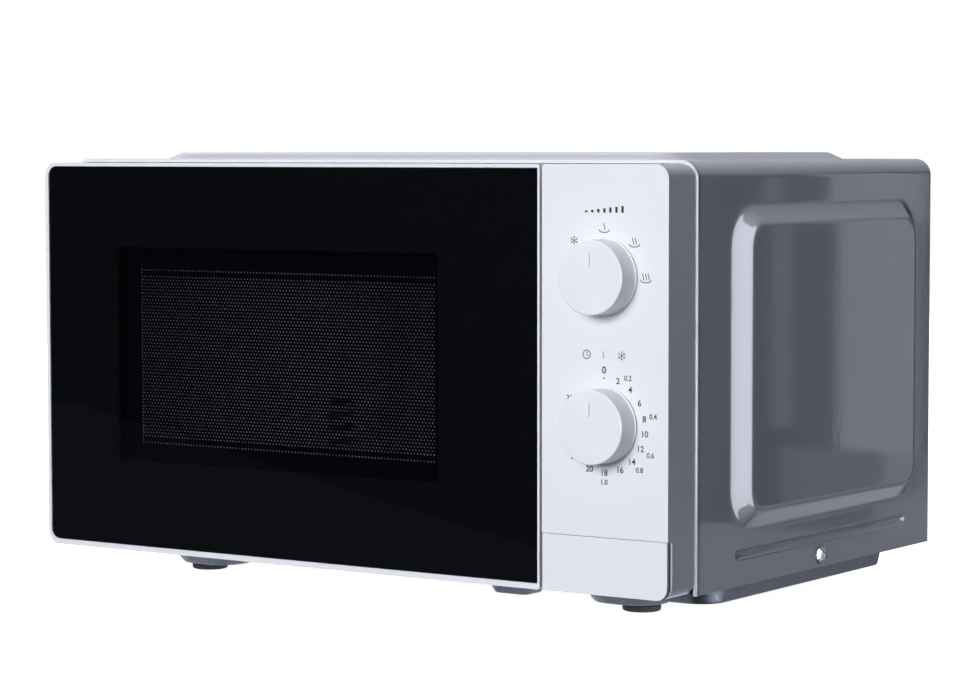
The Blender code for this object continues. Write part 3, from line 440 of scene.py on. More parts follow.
def make_materials():
    white = (0.785, 0.80, 0.86)
    return {
        "enamel": enamel("white_enamel", (0.74, 0.76, 0.82), 0.045),
        "cavity": enamel("cavity_paint", (0.58, 0.59, 0.60), 0.36),
        "white": moulded("white_plastic", white, 0.26, grain=2.0, scale=900.0, coat=0.3, wear=0.006),
        # The knob's body is a lighter, bluer white than the panel's plastic: painted light that lifts its
        # shaded side.
        "knob": moulded("knob_plastic_painted_light", (0.87, 0.885, 0.95), 0.3, grain=3.0, scale=1200.0, coat=0.2,
                        wear=0.01),
        "knob_face": knob_face(),
        # Grey for the pointer groove's faces: painted shade in the groove.
        "shaded_groove": moulded("knob_groove_painted_shade", (0.58, 0.59, 0.65), 0.5),
        "grey": moulded("grey_plastic", (0.055, 0.057, 0.06), 0.5),
        "black_plastic": moulded("black_plastic", (0.02, 0.02, 0.021), 0.45),
        "natural": moulded("natural_plastic", (0.66, 0.63, 0.54), 0.42),
        "ink": moulded("panel_ink", (0.03, 0.03, 0.035), 0.5, grain=4.0),
        "print": matt_print("black_print", (0.0032, 0.0032, 0.0042)),
        "screen": matt_print("screen_enamel", (0.0008, 0.0009, 0.0018)),
        "zinc": galvanised("galvanised_steel"),
        # The pan's zinc is darkened far below bare zinc: painted shade for the shadow under the case.
        "pan": galvanised("pan_steel_painted_shade", (0.10, 0.104, 0.116), 0.42, 260.0),
        "bright": turned_metal("bright_zinc", (0.78, 0.79, 0.81), 0.22),
        "spring": turned_metal("spring_wire", (0.6, 0.6, 0.62), 0.28),
        "aluminium": brushed("aluminium", (0.8, 0.8, 0.82), 0.32),
        "brass": turned_metal("spun_brass", (0.8, 0.58, 0.26), 0.24),
        "lamination": layered("laminations", (0.16, 0.16, 0.17), (0.07, 0.07, 0.075),
                              0.5, 0.8, 330.0, "Y", 80),
        "copper": layered("winding", (0.52, 0.2, 0.07), (0.3, 0.1, 0.035), 0.32, 0.9, 260.0, "Z", 200),
        "board": moulded("circuit_board", (0.03, 0.17, 0.08), 0.38, grain=30.0, scale=500.0, coat=0.3),
        "mica": layered("mica", (0.42, 0.36, 0.27), (0.34, 0.28, 0.2), 0.55, 0.0, 40.0, "Z", 20),
        "rubber": rubbery("black_rubber"),
        "pane": thin_pane("door_glass", (0.88, 0.90, 0.93), 0.012, 0.014),
        "film": thin_pane("clear_film", (0.9, 0.9, 0.9), 0.12, 0.03),
        "tray": clear_glass("turntable_glass", (0.93, 0.98, 0.96)),
        "bulb": clear_glass("bulb_glass", (0.98, 0.97, 0.93)),
    }


# ------------------------------------------------------------- flat outlines

def arc_points(cu, cv, r, a0, a1, n):
    """Points from angle a0 to a1, in degrees, both ends included."""
    pts = []
    for i in range(n + 1):
        a = math.radians(a0 + (a1 - a0) * i / n)
        pts.append((cu + r * math.cos(a), cv + r * math.sin(a)))
    return pts


def round_rect(u0, u1, v0, v1, r, n=8):
    """A rectangle with n steps to a corner; r is one radius, or four from the lower left on."""
    radii = r if isinstance(r, (tuple, list)) else (r, r, r, r)
    corners = [(u0, v0, 1, 1, 180), (u1, v0, -1, 1, 270), (u1, v1, -1, -1, 0), (u0, v1, 1, -1, 90)]
    pts = []
    for (u, v, su, sv, a), rad in zip(corners, radii):
        if rad <= 0.0:
            pts.append((u, v))
        else:
            pts += arc_points(u + su * rad, v + sv * rad, rad, a, a + 90, n)
    return pts


def circle(u, v, r, n):
    return [(u + r * math.cos(2 * math.pi * i / n), v + r * math.sin(2 * math.pi * i / n)) for i in range(n)]


def along(axis):
    """From an outline's (u, v) and the depth w to x, y and z."""
    if axis == "y":
        return lambda u, v, w: Vector((u, w, v))
    return lambda u, v, w: Vector((u, v, w))


# --------------------------------------------------------------- solid tools

def face_out(bm):
    """Merge coincident points and turn the faces of a closed solid outward."""
    bmesh.ops.remove_doubles(bm, verts=bm.verts, dist=0.0005)
    bmesh.ops.recalc_face_normals(bm, faces=bm.faces)
    return bm


def baked(obj):
    """The evaluated mesh of a scratch object as a bmesh; the object is removed."""
    if obj.name not in SCENE.collection.objects:
        SCENE.collection.objects.link(obj)
    graph = bpy.context.evaluated_depsgraph_get()
    mesh = bpy.data.meshes.new_from_object(obj.evaluated_get(graph))
    bm = bmesh.new()
    bm.from_mesh(mesh)
    bpy.data.meshes.remove(mesh)
    bpy.data.objects.remove(obj)
    return bm


def stand(bm, axis):
    """Turn a solid built upward along Z to run along the axis."""
    to3d = along(axis)
    for vert in bm.verts:
        vert.co = to3d(*vert.co)
    return face_out(bm)


def prism(outline, axis, w0, w1):
    """An outline drawn out from w0 to w1."""
    curve = bpy.data.curves.new("outline", "CURVE")
    curve.dimensions = "2D"
    curve.fill_mode = "BOTH"
    curve.extrude = (w1 - w0) / 2
    spline = curve.splines.new("POLY")
    spline.points.add(len(outline) - 1)
    for point, (u, v) in zip(spline.points, outline):
        point.co = (u, v, 0.0, 1.0)
    spline.use_cyclic_u = True
    bm = baked(bpy.data.objects.new("outline", curve))
    bmesh.ops.translate(bm, verts=bm.verts, vec=(0, 0, (w0 + w1) / 2))
    return stand(bm, axis)


def block(x0, x1, y0, y1, z0, z1):
    bm = bmesh.new()
    bmesh.ops.create_cube(bm, size=1.0)
    bmesh.ops.scale(bm, verts=bm.verts, vec=(x1 - x0, y1 - y0, z1 - z0))
    bmesh.ops.translate(bm, verts=bm.verts, vec=((x0 + x1) / 2, (y0 + y1) / 2, (z0 + z1) / 2))
    return bm


def rod(axis, u, v, r, w0, w1, n=32):
    bm = bmesh.new()
    bmesh.ops.create_cone(bm, cap_ends=True, segments=n, radius1=r, radius2=r, depth=w1 - w0)
    bmesh.ops.translate(bm, verts=bm.verts, vec=(u, v, (w0 + w1) / 2))
    return stand(bm, axis)


def turned(profile, axis, u, v, n):
    """A (radius, depth) profile turned about the axis; one that starts on the axis stays open there."""
    mesh = bpy.data.meshes.new("profile")
    count = len(profile)
    last = count - 1 if profile[0][0] == 0.0 else count
    edges = [(i, (i + 1) % count) for i in range(last)]
    mesh.from_pydata([(r, 0.0, w) for r, w in profile], edges, [])
    obj = bpy.data.objects.new("profile", mesh)
    mod = obj.modifiers.new("turn", "SCREW")
    mod.steps = n
    mod.render_steps = n
    mod.use_merge_vertices = True
    mod.merge_threshold = 0.0001
    bm = baked(obj)
    bpy.data.meshes.remove(mesh)
    bmesh.ops.translate(bm, verts=bm.verts, vec=(u, v, 0))
    return stand(bm, axis)


def coil(axis, u, v, w0, w1, radius, wire, turns, steps=28):
    """Round wire along a helix."""
    to3d = along(axis)
    curve = bpy.data.curves.new("helix", "CURVE")
    curve.dimensions = "3D"
    curve.bevel_depth = wire / 2
    curve.bevel_resolution = 5
    curve.use_fill_caps = True
    spline = curve.splines.new("POLY")
    spline.points.add(turns * steps)
    for i, point in enumerate(spline.points):
        a = 2 * math.pi * i / steps
        w = w0 + (w1 - w0) * i / (turns * steps)
        point.co = to3d(u + radius * math.cos(a), v + radius * math.sin(a), w).to_4d()
    return face_out(baked(bpy.data.objects.new("helix", curve)))


def merged(solids):
    """Several meshes as one; the parts are freed."""
    bm = bmesh.new()
    for solid in solids:
        mesh = bpy.data.meshes.new("scratch")
        solid.to_mesh(mesh)
        bm.from_mesh(mesh)
        solid.free()
        bpy.data.meshes.remove(mesh)
    return bm


def mesh_object(name, bm):
    """A scratch object in millimetres."""
    mesh = bpy.data.meshes.new(name)
    bm.to_mesh(mesh)
    bm.free()
    return add_object(name, mesh)


def carve(bm, solids, operation="DIFFERENCE"):
    """Cut solids from a body, or join them to it, one modifier for all."""
    base = mesh_object("base", bm)
    tool = mesh_object("tool", merged(solids))
    mod = base.modifiers.new("cut", "BOOLEAN")
    mod.operation = operation
    mod.solver = "EXACT"
    mod.object = tool
    out = baked(base)
    bpy.data.objects.remove(tool)
    bmesh.ops.remove_doubles(out, verts=out.verts, dist=0.0005)
    return out


# ---------------------------------------------------------------- sheet tools

def feature(loops, cap=True, inner=()):
    """Loops of (outline, height) pressed into a sheet; without a cap the last loop is a hole."""
    return {"loops": loops, "cap": cap, "inner": list(inner)}


def hole(outline):
    return feature([(outline, None)], cap=False)


def rings(u, v, n, steps):
    """Round loops about a centre from (radius, height) steps, with a hole in the middle."""
    return feature([(circle(u, v, r, n), h) for r, h in steps], cap=False)


def slope_profile(steps, blend):
    """0 to 1 with rounded ends and a straight middle."""
    s = 1.0 / (1.0 - blend)
    pts = []
    for i in range(steps + 1):
        t = i / steps
        if t < blend:
            h = s * t * t / (2 * blend)
        elif t > 1 - blend:
            h = 1.0 - s * (1 - t) ** 2 / (2 * blend)
        else:
            h = s * (t - blend / 2)
        pts.append((t, h))
    return pts


def emboss(u0, u1, v0, v1, r, height, slope, n, inner=(), base=0.0, steps=12, blend=0.26, rim=0.0):
    """Raised panel; rim adds a flat ring inside and outside, which keeps the flats' shading true."""
    def loop(inset, h):
        return round_rect(u0 + inset, u1 - inset, v0 + inset, v1 - inset, max(r - inset, 1.5), n), h

    loops = [loop(slope * s, base + height * h) for s, h in slope_profile(steps, blend)]
    if rim:
        loops = [loop(-rim, base)] + loops + [loop(slope + rim, base + height)]
    return feature(loops, inner=inner)


def edge_between(bm, a, b):
    edge = bm.edges.get((a, b))
    return edge if edge is not None else bm.edges.new((a, b))


def ring_edges(bm, ring):
    return [edge_between(bm, ring[i], ring[(i + 1) % len(ring)]) for i in range(len(ring))]


def fill_region(bm, to3d, ring, height, features):
    """Fill the sheet inside a ring, around and over its features."""
    edges = ring_edges(bm, ring)
    starts = []
    for feat in features:
        outline, h0 = feat["loops"][0]
        h0 = height if h0 is None else h0
        loop = [bm.verts.new(to3d(u, v, h0)) for u, v in outline]
        starts.append(loop)
        edges += ring_edges(bm, loop)
    bmesh.ops.triangle_fill(bm, use_beauty=True, use_dissolve=False, edges=edges)
    for feat, loop in zip(features, starts):
        h = height
        for outline, h in feat["loops"][1:]:
            nxt = [bm.verts.new(to3d(u, v, h)) for u, v in outline]
            count = len(nxt)
            for i in range(count):
                j = (i + 1) % count
                bm.faces.new((loop[i], loop[j], nxt[j], nxt[i]))
            loop = nxt
        if feat["cap"]:
            if feat["inner"]:
                fill_region(bm, to3d, loop, h, feat["inner"])
            else:
                bm.faces.new(loop)


def sheet_region(bm, to3d, outline, features):
    """A flat sheet at height 0 with its features pressed or cut into it."""
    ring = [bm.verts.new(to3d(u, v, 0.0)) for u, v in outline]
    fill_region(bm, to3d, ring, 0.0, features)


def orient(bm, probe, normal):
    """Turn a sheet's faces so that the broad face nearest the probe looks along the normal."""
    bmesh.ops.remove_doubles(bm, verts=bm.verts, dist=0.001)
    bmesh.ops.recalc_face_normals(bm, faces=bm.faces)
    bm.normal_update()
    broad = [f for f in bm.faces if f.calc_area() > 2.0]
    near = min(broad, key=lambda f: (f.calc_center_median() - Vector(probe)).length)
    if near.normal.dot(Vector(normal)) < 0:
        bmesh.ops.reverse_faces(bm, faces=bm.faces)
    return bm


# ------------------------------------------------------------------- pieces

def piece(name, bm, mats, body, replaces=(), sheet=0.0, round_edges=0.0, segments=3, angle=32.0):
    """A finished piece: millimetres to metres, sheet thickness, rounded edges, body, and the CAD parts it
    replaces hidden.

    A sheet's free edges are marked sharp, so its flat faces don't shade into them."""
    bmesh.ops.scale(bm, verts=bm.verts, vec=(MM, MM, MM))
    for e in bm.edges:
        if sheet and e.is_boundary:
            e.smooth = False
    mesh = bpy.data.meshes.new(name)
    bm.to_mesh(mesh)
    bm.free()
    obj = add_object(name, mesh)
    for mat in mats if isinstance(mats, (list, tuple)) else [mats]:
        mesh.materials.append(mat)
    mesh.polygons.foreach_set("use_smooth", [True] * len(mesh.polygons))
    if sheet:
        mod = obj.modifiers.new("sheet", "SOLIDIFY")
        mod.thickness = sheet * MM
        mod.offset = -1.0
        mod.use_even_offset = True
        mod.use_quality_normals = True
    if round_edges:
        mod = obj.modifiers.new("edges", "BEVEL")
        mod.limit_method = "ANGLE"
        mod.angle_limit = math.radians(angle)
        mod.width = round_edges * MM
        mod.segments = segments
        mod.harden_normals = True
        mod.miter_outer = "MITER_ARC"
    if round_edges or sheet:
        mod = obj.modifiers.new("normals", "WEIGHTED_NORMAL")
        mod.keep_sharp = True
        mod.weight = 60
    else:
        mesh.set_sharp_from_angle(angle=math.radians(angle))
    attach(obj, body)
    if replaces:
        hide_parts(*replaces)
    return obj


def refine(node, mat, bevel):
    """Give a CAD node its finish, with smooth round faces and softened edges."""
    obj = NODES[node]
    mesh = obj.data
    angle = math.radians(38.0)
    if "custom_normal" in mesh.attributes:
        mesh.attributes.remove(mesh.attributes["custom_normal"])
    mesh.polygons.foreach_set("use_smooth", [True] * len(mesh.polygons))
    weld = obj.modifiers.new("weld", "WELD")
    weld.merge_threshold = 0.000002
    if bevel:
        mod = obj.modifiers.new("edges", "BEVEL")
        mod.limit_method = "ANGLE"
        mod.angle_limit = angle
        mod.width = bevel * MM
        mod.segments = 2
        mod.harden_normals = True
        norm = obj.modifiers.new("normals", "WEIGHTED_NORMAL")
        norm.weight = 60
    else:
        split = obj.modifiers.new("split", "EDGE_SPLIT")
        split.split_angle = angle
    if len(mesh.materials) == 0:
        mesh.materials.append(mat)
    for i in range(len(mesh.materials)):
        mesh.materials[i] = mat


# ------------------------------------------------------------------- cabinet

def case_section(h):
    """The case's inverted U at height h above its flat faces; SUPPORT strips flank the bends."""
    w, r = BODY_HALF_W, CASE_CORNER
    edge = CASE_TOP - r - SUPPORT
    pts = [(-w - h, CASE_BOTTOM), (-w - h, edge)]
    pts += arc_points(-w + r, CASE_TOP - r, r + h, 180, 90, CASE_BENDS)
    pts += [(-w + r + SUPPORT, CASE_TOP + h), (w - r - SUPPORT, CASE_TOP + h)]
    pts += arc_points(w - r, CASE_TOP - r, r + h, 90, 0, CASE_BENDS)
    pts += [(w + h, edge), (w + h, CASE_BOTTOM)]
    return pts


def side_features():
    """The side's raised panel, the groove under it and the dimple round its screw."""
    panel = emboss(-90.4, 133.0, 48.0, 230.0, 25.0, 7.0, 13.4, n=16, steps=14, rim=1.2)
    steps = [(0.0, 0.0), (0.8, 0.0), (1.2, -0.2), (1.8, -0.9), (2.4, -1.6), (3.0, -2.0)]
    groove = feature([(round_rect(-84.8 + i, 122.8 - i, 32.8 + i, 40.2 - i, 3.7 - i), h) for i, h in steps])
    steps = [(6.5, 0.0), (6.1, 0.0), (5.9, -0.15), (5.3, -0.9), (4.9, -1.0), (2.1, -1.0)]
    dimple = rings(15.0, 26.2, 36, steps)
    return [panel, groove, dimple]


def build_case(m):
    bm = bmesh.new()
    w = BODY_HALF_W
    front = CASE_FRONT + 3.2
    start = front + 1.5
    edge = CASE_TOP - CASE_CORNER - SUPPORT
    upright = [(start, CASE_BOTTOM), (CASE_REAR, CASE_BOTTOM), (CASE_REAR, edge), (start, edge)]
    sheet_region(bm, lambda u, v, h: Vector((-w - h, u, v)), upright, side_features())
    sheet_region(bm, lambda u, v, h: Vector((w + h, u, v)), upright, side_features())
    lid_w = w - CASE_CORNER - SUPPORT
    lid = [(-lid_w, start), (lid_w, start), (lid_w, CASE_REAR), (-lid_w, CASE_REAR)]
    raised = emboss(-190.0, 190.0, -92.5, 117.0, 22.0, 4.15, 12.0, n=14, rim=1.2)
    sheet_region(bm, lambda u, v, h: Vector((u, v, CASE_TOP + h)), lid, [raised])

    flat = case_section(0.0)
    walls = (0, CASE_BENDS + 3, 2 * CASE_BENDS + 6)
    for k in range(len(flat) - 1):
        if k in walls:
            continue
        (xa, za), (xb, zb) = flat[k], flat[k + 1]
        corners = [(xa, start, za), (xb, start, zb), (xb, CASE_REAR, zb), (xa, CASE_REAR, za)]
        bm.faces.new([bm.verts.new(c) for c in corners])

    # The hem: a slight swell to the front, a rounded edge and a short return inward.
    lip, lip_r = 0.5, 1.1
    hem = [(start, 0.0), (front, 0.0), (front - 0.35, 0.06), (front - 0.75, 0.3), (front - 1.15, 0.44),
           (front - 1.5, lip), (CASE_FRONT + lip_r, lip)]
    hem += [(y, h) for h, y in arc_points(lip - lip_r, CASE_FRONT + lip_r, lip_r, 0, -90, 5)[1:]]
    hem.append((CASE_FRONT, -1.5))
    for (ya, ha), (yb, hb) in zip(hem, hem[1:]):
        sa, sb = case_section(ha), case_section(hb)
        for k in range(len(sa) - 1):
            quad = [(sa[k], ya), (sa[k + 1], ya), (sb[k + 1], yb), (sb[k], yb)]
            bm.faces.new([bm.verts.new((p[0], y, p[1])) for p, y in quad])
    orient(bm, (0.0, 10.0, CASE_TOP + 4.15), (0, 0, 1))
    piece("case_shell", bm, m["enamel"], "cabinet", ["outer_wrapper"], sheet=SHEET)


def build_base_pan(m):
    """Heights are measured down from the pan's rim to its floor and to the seats of the feet."""
    rim = 19.4
    depth = rim - 10.8
    seat = rim - 4.9
    bolt = 2.2

    def boss(side):
        lo, hi = sorted((side * 123.0, side * 177.0))
        inner = [hole(circle(side * FOOT_X, FOOT_FRONT_Y, bolt, 24))]
        return emboss(lo, hi, -101.0, -55.0, 22.0, seat - depth, 6.5, n=12, inner=inner, base=depth, steps=8)

    def cone(side):
        steps = [(18.5, 0.0), (17.9, seat * 0.05), (13.0, seat * 0.9), (12.0, seat), (bolt, seat)]
        return rings(side * FOOT_X, FOOT_REAR_Y, 40, steps)

    pad = emboss(65.5, 96.0, -102.5, -77.0, 8.0, 5.0, 4.5, n=8, base=depth, steps=8, blend=0.35)
    low = [boss(-1), boss(1), pad]
    for i in range(5):
        y = -44.0 + 11.0 * i
        low.append(hole(round_rect(120.0, 190.0, y, y + 4.0, 1.9, 6)))
    tray = emboss(-218.2, 218.2, -106.1, 108.6, 17.6, depth, 2.6, n=12, inner=low, steps=8)
    outline = [(-218.8, -125.0), (218.8, -125.0), (218.8, 152.4), (-218.8, 152.4)]
    bm = bmesh.new()
    sheet_region(bm, lambda u, v, h: Vector((u, v, rim - h)), outline, [tray, cone(-1), cone(1)])
    orient(bm, (0.0, 0.0, rim - depth), (0, 0, -1))
    piece("floor_pan", bm, m["pan"], "cabinet", ["base_pan"], sheet=SHEET)


def build_back(m):
    """The rear panel: the cavity's bump, two groups of vents, the cord's hole and the screw's."""
    outline = round_rect(-218.6, 218.6, 20.8, 251.6, (0.0, 0.0, 8.8, 8.8))
    feats = [emboss(-207.0, 121.0, 22.6, 243.0, 14.0, 16.4, 6.0, n=8, steps=8)]
    for i in range(7):
        x = 138.0 + 9.0 * i
        feats.append(hole(round_rect(x, x + 4.4, 138.0, 192.0, 2.1, 6)))
    for i in range(4):
        z = 78.0 + 9.0 * i
        feats.append(hole(round_rect(138.0, 196.0, z, z + 4.0, 1.9, 6)))
    feats.append(hole(circle(150.0, 48.0, 7.4, 32)))
    feats.append(hole(circle(212.0, 236.0, 2.2, 16)))
    bm = bmesh.new()
    sheet_region(bm, lambda u, v, h: Vector((u, 153.6 + h, v)), outline, feats)
    orient(bm, (-40.0, 170.0, 130.0), (0, 1, 0))
    piece("rear_panel", bm, m["zinc"], "cabinet", ["back_panel"], sheet=SHEET)


def build_feet(m):
    profile = [(0.0, 0.0), (7.0, 0.0), (7.4, 0.3), (9.8, 0.3), (10.6, 0.7), (11.0, 1.5), (11.0, 3.6),
               (10.6, 4.1), (10.0, 4.2), (2.0, 4.2), (1.9, 8.6), (0.0, 9.0)]
    for end, y in (("front", FOOT_FRONT_Y), ("rear", FOOT_REAR_Y)):
        for side, x in (("left", -FOOT_X), ("right", FOOT_X)):
            node = "foot_%s_%s" % (end, side)
            piece(node + "_pad", turned(profile, "z", x, y, 64), m["rubber"], "cabinet", [node])


# ---------------------------------------------------------------------- door

def build_door(m):
    """The door's white surround, its glass and the black print behind the glass."""
    back = -128.5
    outline = round_rect(-BODY_HALF_W, 138.2, FRONT_BOTTOM, FRONT_TOP, (8.0, 2.0, 2.0, 8.0), 14)
    bm = prism(outline, "y", FACE_Y, back)
    recess = prism(round_rect(-217.6, 136.8, 22.8, 249.2, (6.2, 0.3, 0.3, 6.2), 12), "y", FACE_Y - 1, -151.6)
    opening = block(-172.0, 79.0, -153.0, -148.0, 67.0, 209.0)
    pocket = prism(round_rect(-217.4, 135.8, 22.4, 248.4, (5.6, 0.3, 0.3, 5.6)), "y", -149.4, back + 1.5)
    corner = prism([(-221, -131.9), (-219.99, -132.6), (-214.8, -127.4), (-221, -127.4)], "z", 10.0, 260.0)
    notches = [block(-221.0, -216.9, -142.2, back + 1.5, z, z + 5.0) for z in (26.0, 239.9)]
    for tools in ([recess], [opening], [pocket], [corner], notches):
        bm = carve(bm, tools)
    piece("door_surround", bm, m["white"], "door", ["door_frame"], round_edges=0.55)

    pane_outline = round_rect(-217.4, 136.5, 23.0, 249.0, (6.0, 0.4, 0.4, 6.0), 14)
    bm = prism(pane_outline, "y", FACE_Y + 0.1, FACE_Y + 0.5)
    piece("door_pane", bm, m["pane"], "door", ["door_glass"])
    x0, x1, z0, z1 = WINDOW
    bm = prism(pane_outline, "y", FACE_Y + 0.7, -151.9)
    bm = carve(bm, [prism(round_rect(x0, x1, z0, z1, 1.2, 6), "y", FACE_Y - 2, -150.0)])
    piece("door_print", bm, m["print"], "door")


def build_screen(m):
    """Black sheet with rows of staggered holes behind the window; the second row from each end is blind."""
    y = -141.7
    pitch = 2.3
    row = pitch * 0.866
    r = 0.56
    x0, x1, z0, z1 = -155.8, 62.4, 82.8, 190.0
    cols = int((x1 - x0) / pitch)
    rows = int((z1 - z0) / row)
    bm = bmesh.new()
    ring = [(math.cos(math.radians(60 * k + 30)), math.sin(math.radians(60 * k + 30))) for k in range(6)]
    cell = pitch / math.sqrt(3)
    grid = {}
    blind = (1, rows - 2)

    def corner(x, z):
        key = (round(x * 200), round(z * 200))
        if key not in grid:
            grid[key] = bm.verts.new((x, y, z))
        return grid[key]

    for j in range(rows):
        for i in range(cols):
            cx = x0 + pitch * (i + 0.5 + 0.5 * (j % 2)) - pitch * 0.25
            cz = z0 + row * (j + 0.5)
            outer = [corner(cx + cell * c, cz + cell * s) for c, s in ring]
            if j in blind:
                bm.faces.new(outer)
                continue
            inner = [bm.verts.new((cx + r * c, y, cz + r * s)) for c, s in ring]
            for k in range(6):
                q = (k + 1) % 6
                bm.faces.new((outer[k], outer[q], inner[q], inner[k]))
    for f in bm.faces:
        f.normal_update()
        if f.normal.y > 0:
            f.normal_flip()
    piece("screen_mesh", bm, m["screen"], "door", ["door_screen"], sheet=0.4)

    border = block(-174.0, 80.0, y, y + 0.4, 70.0, 206.0)
    opening = block(x0 - 0.1, x0 + pitch * (cols - 0.27), y - 2, y + 2, z0 + 0.3, z0 + row * rows - 0.3)
    piece("screen_border", carve(border, [opening]), m["screen"], "door")


# ------------------------------------------------------------- control panel

def build_panel(m):
    """The control panel's shell above, and the open button's cap below it."""
    left, right = PANEL_LEFT, PANEL_RIGHT
    split = 51.2
    wall = 2.2
    back = -127.3
    outline = round_rect(left, right, FRONT_BOTTOM, FRONT_TOP, (2.0, 7.5, 7.7, 2.0), 14)
    bm = prism(outline, "y", FACE_Y, back)
    seat = block(left - 5, right - 2.3, -128.2, -120.0, 21.9, FRONT_TOP - 2.3)
    inside = round_rect(left + wall, right - wall, split + wall, FRONT_TOP - wall, (0, 0, 5.6, 0))
    inside = prism(inside, "y", -152.4, back + 0.3)
    button_bay = block(130.0, 230.0, -156.0, -150.6, 10.0, split)
    below = prism(round_rect(left + wall, right - wall, 21.8, split, (0, 5.4, 0, 0)), "y", -151.5, back + 0.3)
    shafts = [rod("y", KNOB_X, z, 4.2, -157.0, -150.0, 40) for z in (POWER_Z, TIMER_Z)]
    for tools in ([seat], [inside], [button_bay], [below], shafts):
        bm = carve(bm, tools)
    piece("panel_shell", bm, m["white"], "cabinet", ["control_panel"],
          round_edges=0.9, segments=4)

    plate = round_rect(left + 0.3, 219.0, FRONT_BOTTOM, 50.9, (1.0, 7.2, 1.0, 1.0), 14)
    bm = prism(plate, "y", FACE_Y, -153.4)
    bm = carve(bm, [block(143.0, 182.0, -153.6, -139.0, 23.6, 47.4)], "UNION")
    bm = carve(bm, [block(144.6, 180.4, -153.4, -138.0, 25.2, 45.8)])
    bm = carve(bm, [block(144.0, 149.0, -154.0, -122.9, 30.5, 33.0)], "UNION")
    piece("button_cap", bm, m["white"], "button", ["open_button"], round_edges=0.5)


def knob_profile(y):
    pts = [(0.0, y - 10.5), (3.2, y - 10.5), (3.2, y - 0.4), (20.5, y - 0.4)]
    pts += [(20.9, y - 0.55), (21.0, y - 0.9), (21.0, y - 1.5), (20.85, y - 1.75)]
    pts += [(20.45, y - 1.9), (20.4, y - 2.3), (20.1, y - 13.6)]
    rim = arc_points(19.3, -14.0, 0.8, 0, -90, 8)
    pts += [(r, y + w) for r, w in rim]
    pts += [(19.0, y - 14.81), (0.0, y - 14.86)]
    return pts


def build_knobs(m):
    """Each knob is turned in place, then moved into its own frame on the dial's axis."""
    mats = [m["knob"], m["knob_face"], m["shaded_groove"]]
    for name, z, body in (("power", POWER_Z, "power_dial"), ("timer", TIMER_Z, "timer_dial")):
        bm = turned(knob_profile(FACE_Y), "y", KNOB_X, z, 128)
        shaded_groove = round_rect(KNOB_X - 0.32, KNOB_X + 0.32, z + 5.4, z + 13.2, 0.3, 4)
        bm = carve(bm, [prism(shaded_groove, "y", FACE_Y - 17, FACE_Y - 14.3)])
        for f in bm.faces:
            c = f.calc_center_median()
            flat = abs(f.normal.y) > 0.9 and c.y < FACE_Y - 14.5
            f.material_index = 1 if flat else 0
            # The pointer groove is carved into the face; its faces take the grey, painted shade in the
            # groove.
            if all(abs(v.co.x - KNOB_X) < 0.4 and z + 5 < v.co.z < z + 13.5 for v in f.verts):
                f.material_index = 2
        obj = piece(name + "_knob_cap", bm, mats, body, [name + "_knob"], angle=28.0)
        obj.data.transform(Matrix.Translation((-KNOB_X * MM, 0, -z * MM)))
        obj.location = (KNOB_X * MM, 0, z * MM)


# ----------------------------------------------------------------- the print

def stroke(points, width, closed=False):
    """A flat printed line through (x, z) points on the panel."""
    bm = bmesh.new()
    half = width / 2
    count = len(points)
    sides = []
    for i, (x, z) in enumerate(points):
        prev = points[i - 1] if (i or closed) else points[i]
        nxt = points[(i + 1) % count] if (i < count - 1 or closed) else points[i]
        d = Vector((nxt[0] - prev[0], nxt[1] - prev[1]))
        d.normalize()
        nrm = Vector((-d.y, d.x)) * half
        sides.append((bm.verts.new((x + nrm.x, 0, z + nrm.y)), bm.verts.new((x - nrm.x, 0, z - nrm.y))))
    last = count if closed else count - 1
    for i in range(last):
        a, b = sides[i], sides[(i + 1) % count]
        bm.faces.new((a[0], a[1], b[1], b[0]))
    return bm


def disc(x, z, r, n=20):
    bm = bmesh.new()
    bm.faces.new([bm.verts.new((u, 0, v)) for u, v in circle(x, z, r, n)])
    return bm


def numeral(text, x, z, size):
    font = bpy.data.curves.new("numeral", "FONT")
    font.body = text
    font.size = size
    font.align_x = "CENTER"
    font.align_y = "CENTER"
    font.offset = 0.018 * size
    font.resolution_u = 4
    bm = baked(bpy.data.objects.new("numeral", font))
    for vert in bm.verts:
        vert.co = Vector((x + vert.co.x, 0, z + vert.co.y))
    return bm


def bowl(x, z, waves):
    """A shallow bowl with wavy steam lines over it."""
    marks = [stroke([(x - 3.4, z - 1.2), (x - 2.3, z - 2.3), (x - 1.1, z - 2.6), (x + 1.1, z - 2.6),
                     (x + 2.3, z - 2.3), (x + 3.4, z - 1.2)], 0.5)]
    for i in range(waves):
        cx = x + (i - (waves - 1) / 2) * 1.7
        pts = [(cx + 0.4 * math.sin(k * 0.95), z - 1.3 + k * 0.6) for k in range(7)]
        marks.append(stroke(pts, 0.46))
    return marks


def flake(x, z, r):
    """A snowflake: three strokes across, with a pair of barbs at each end."""
    marks = []
    for k in range(3):
        a = math.radians(60 * k + 30)
        dx, dz = r * math.cos(a), r * math.sin(a)
        marks.append(stroke([(x - dx, z - dz), (x + dx, z + dz)], 0.34))
        for s in (-1, 1):
            px, pz = x + s * dx * 0.58, z + s * dz * 0.58
            for side in (-40, 40):
                b = a + math.radians(side)
                barb = (px + s * r * 0.4 * math.cos(b), pz + s * r * 0.4 * math.sin(b))
                marks.append(stroke([(px, pz), barb], 0.28))
    return marks


def dial_point(z, angle, r):
    """A place round a dial, with the angle in degrees clockwise from the top."""
    a = math.radians(angle)
    return KNOB_X + r * math.sin(a), z + r * math.cos(a)


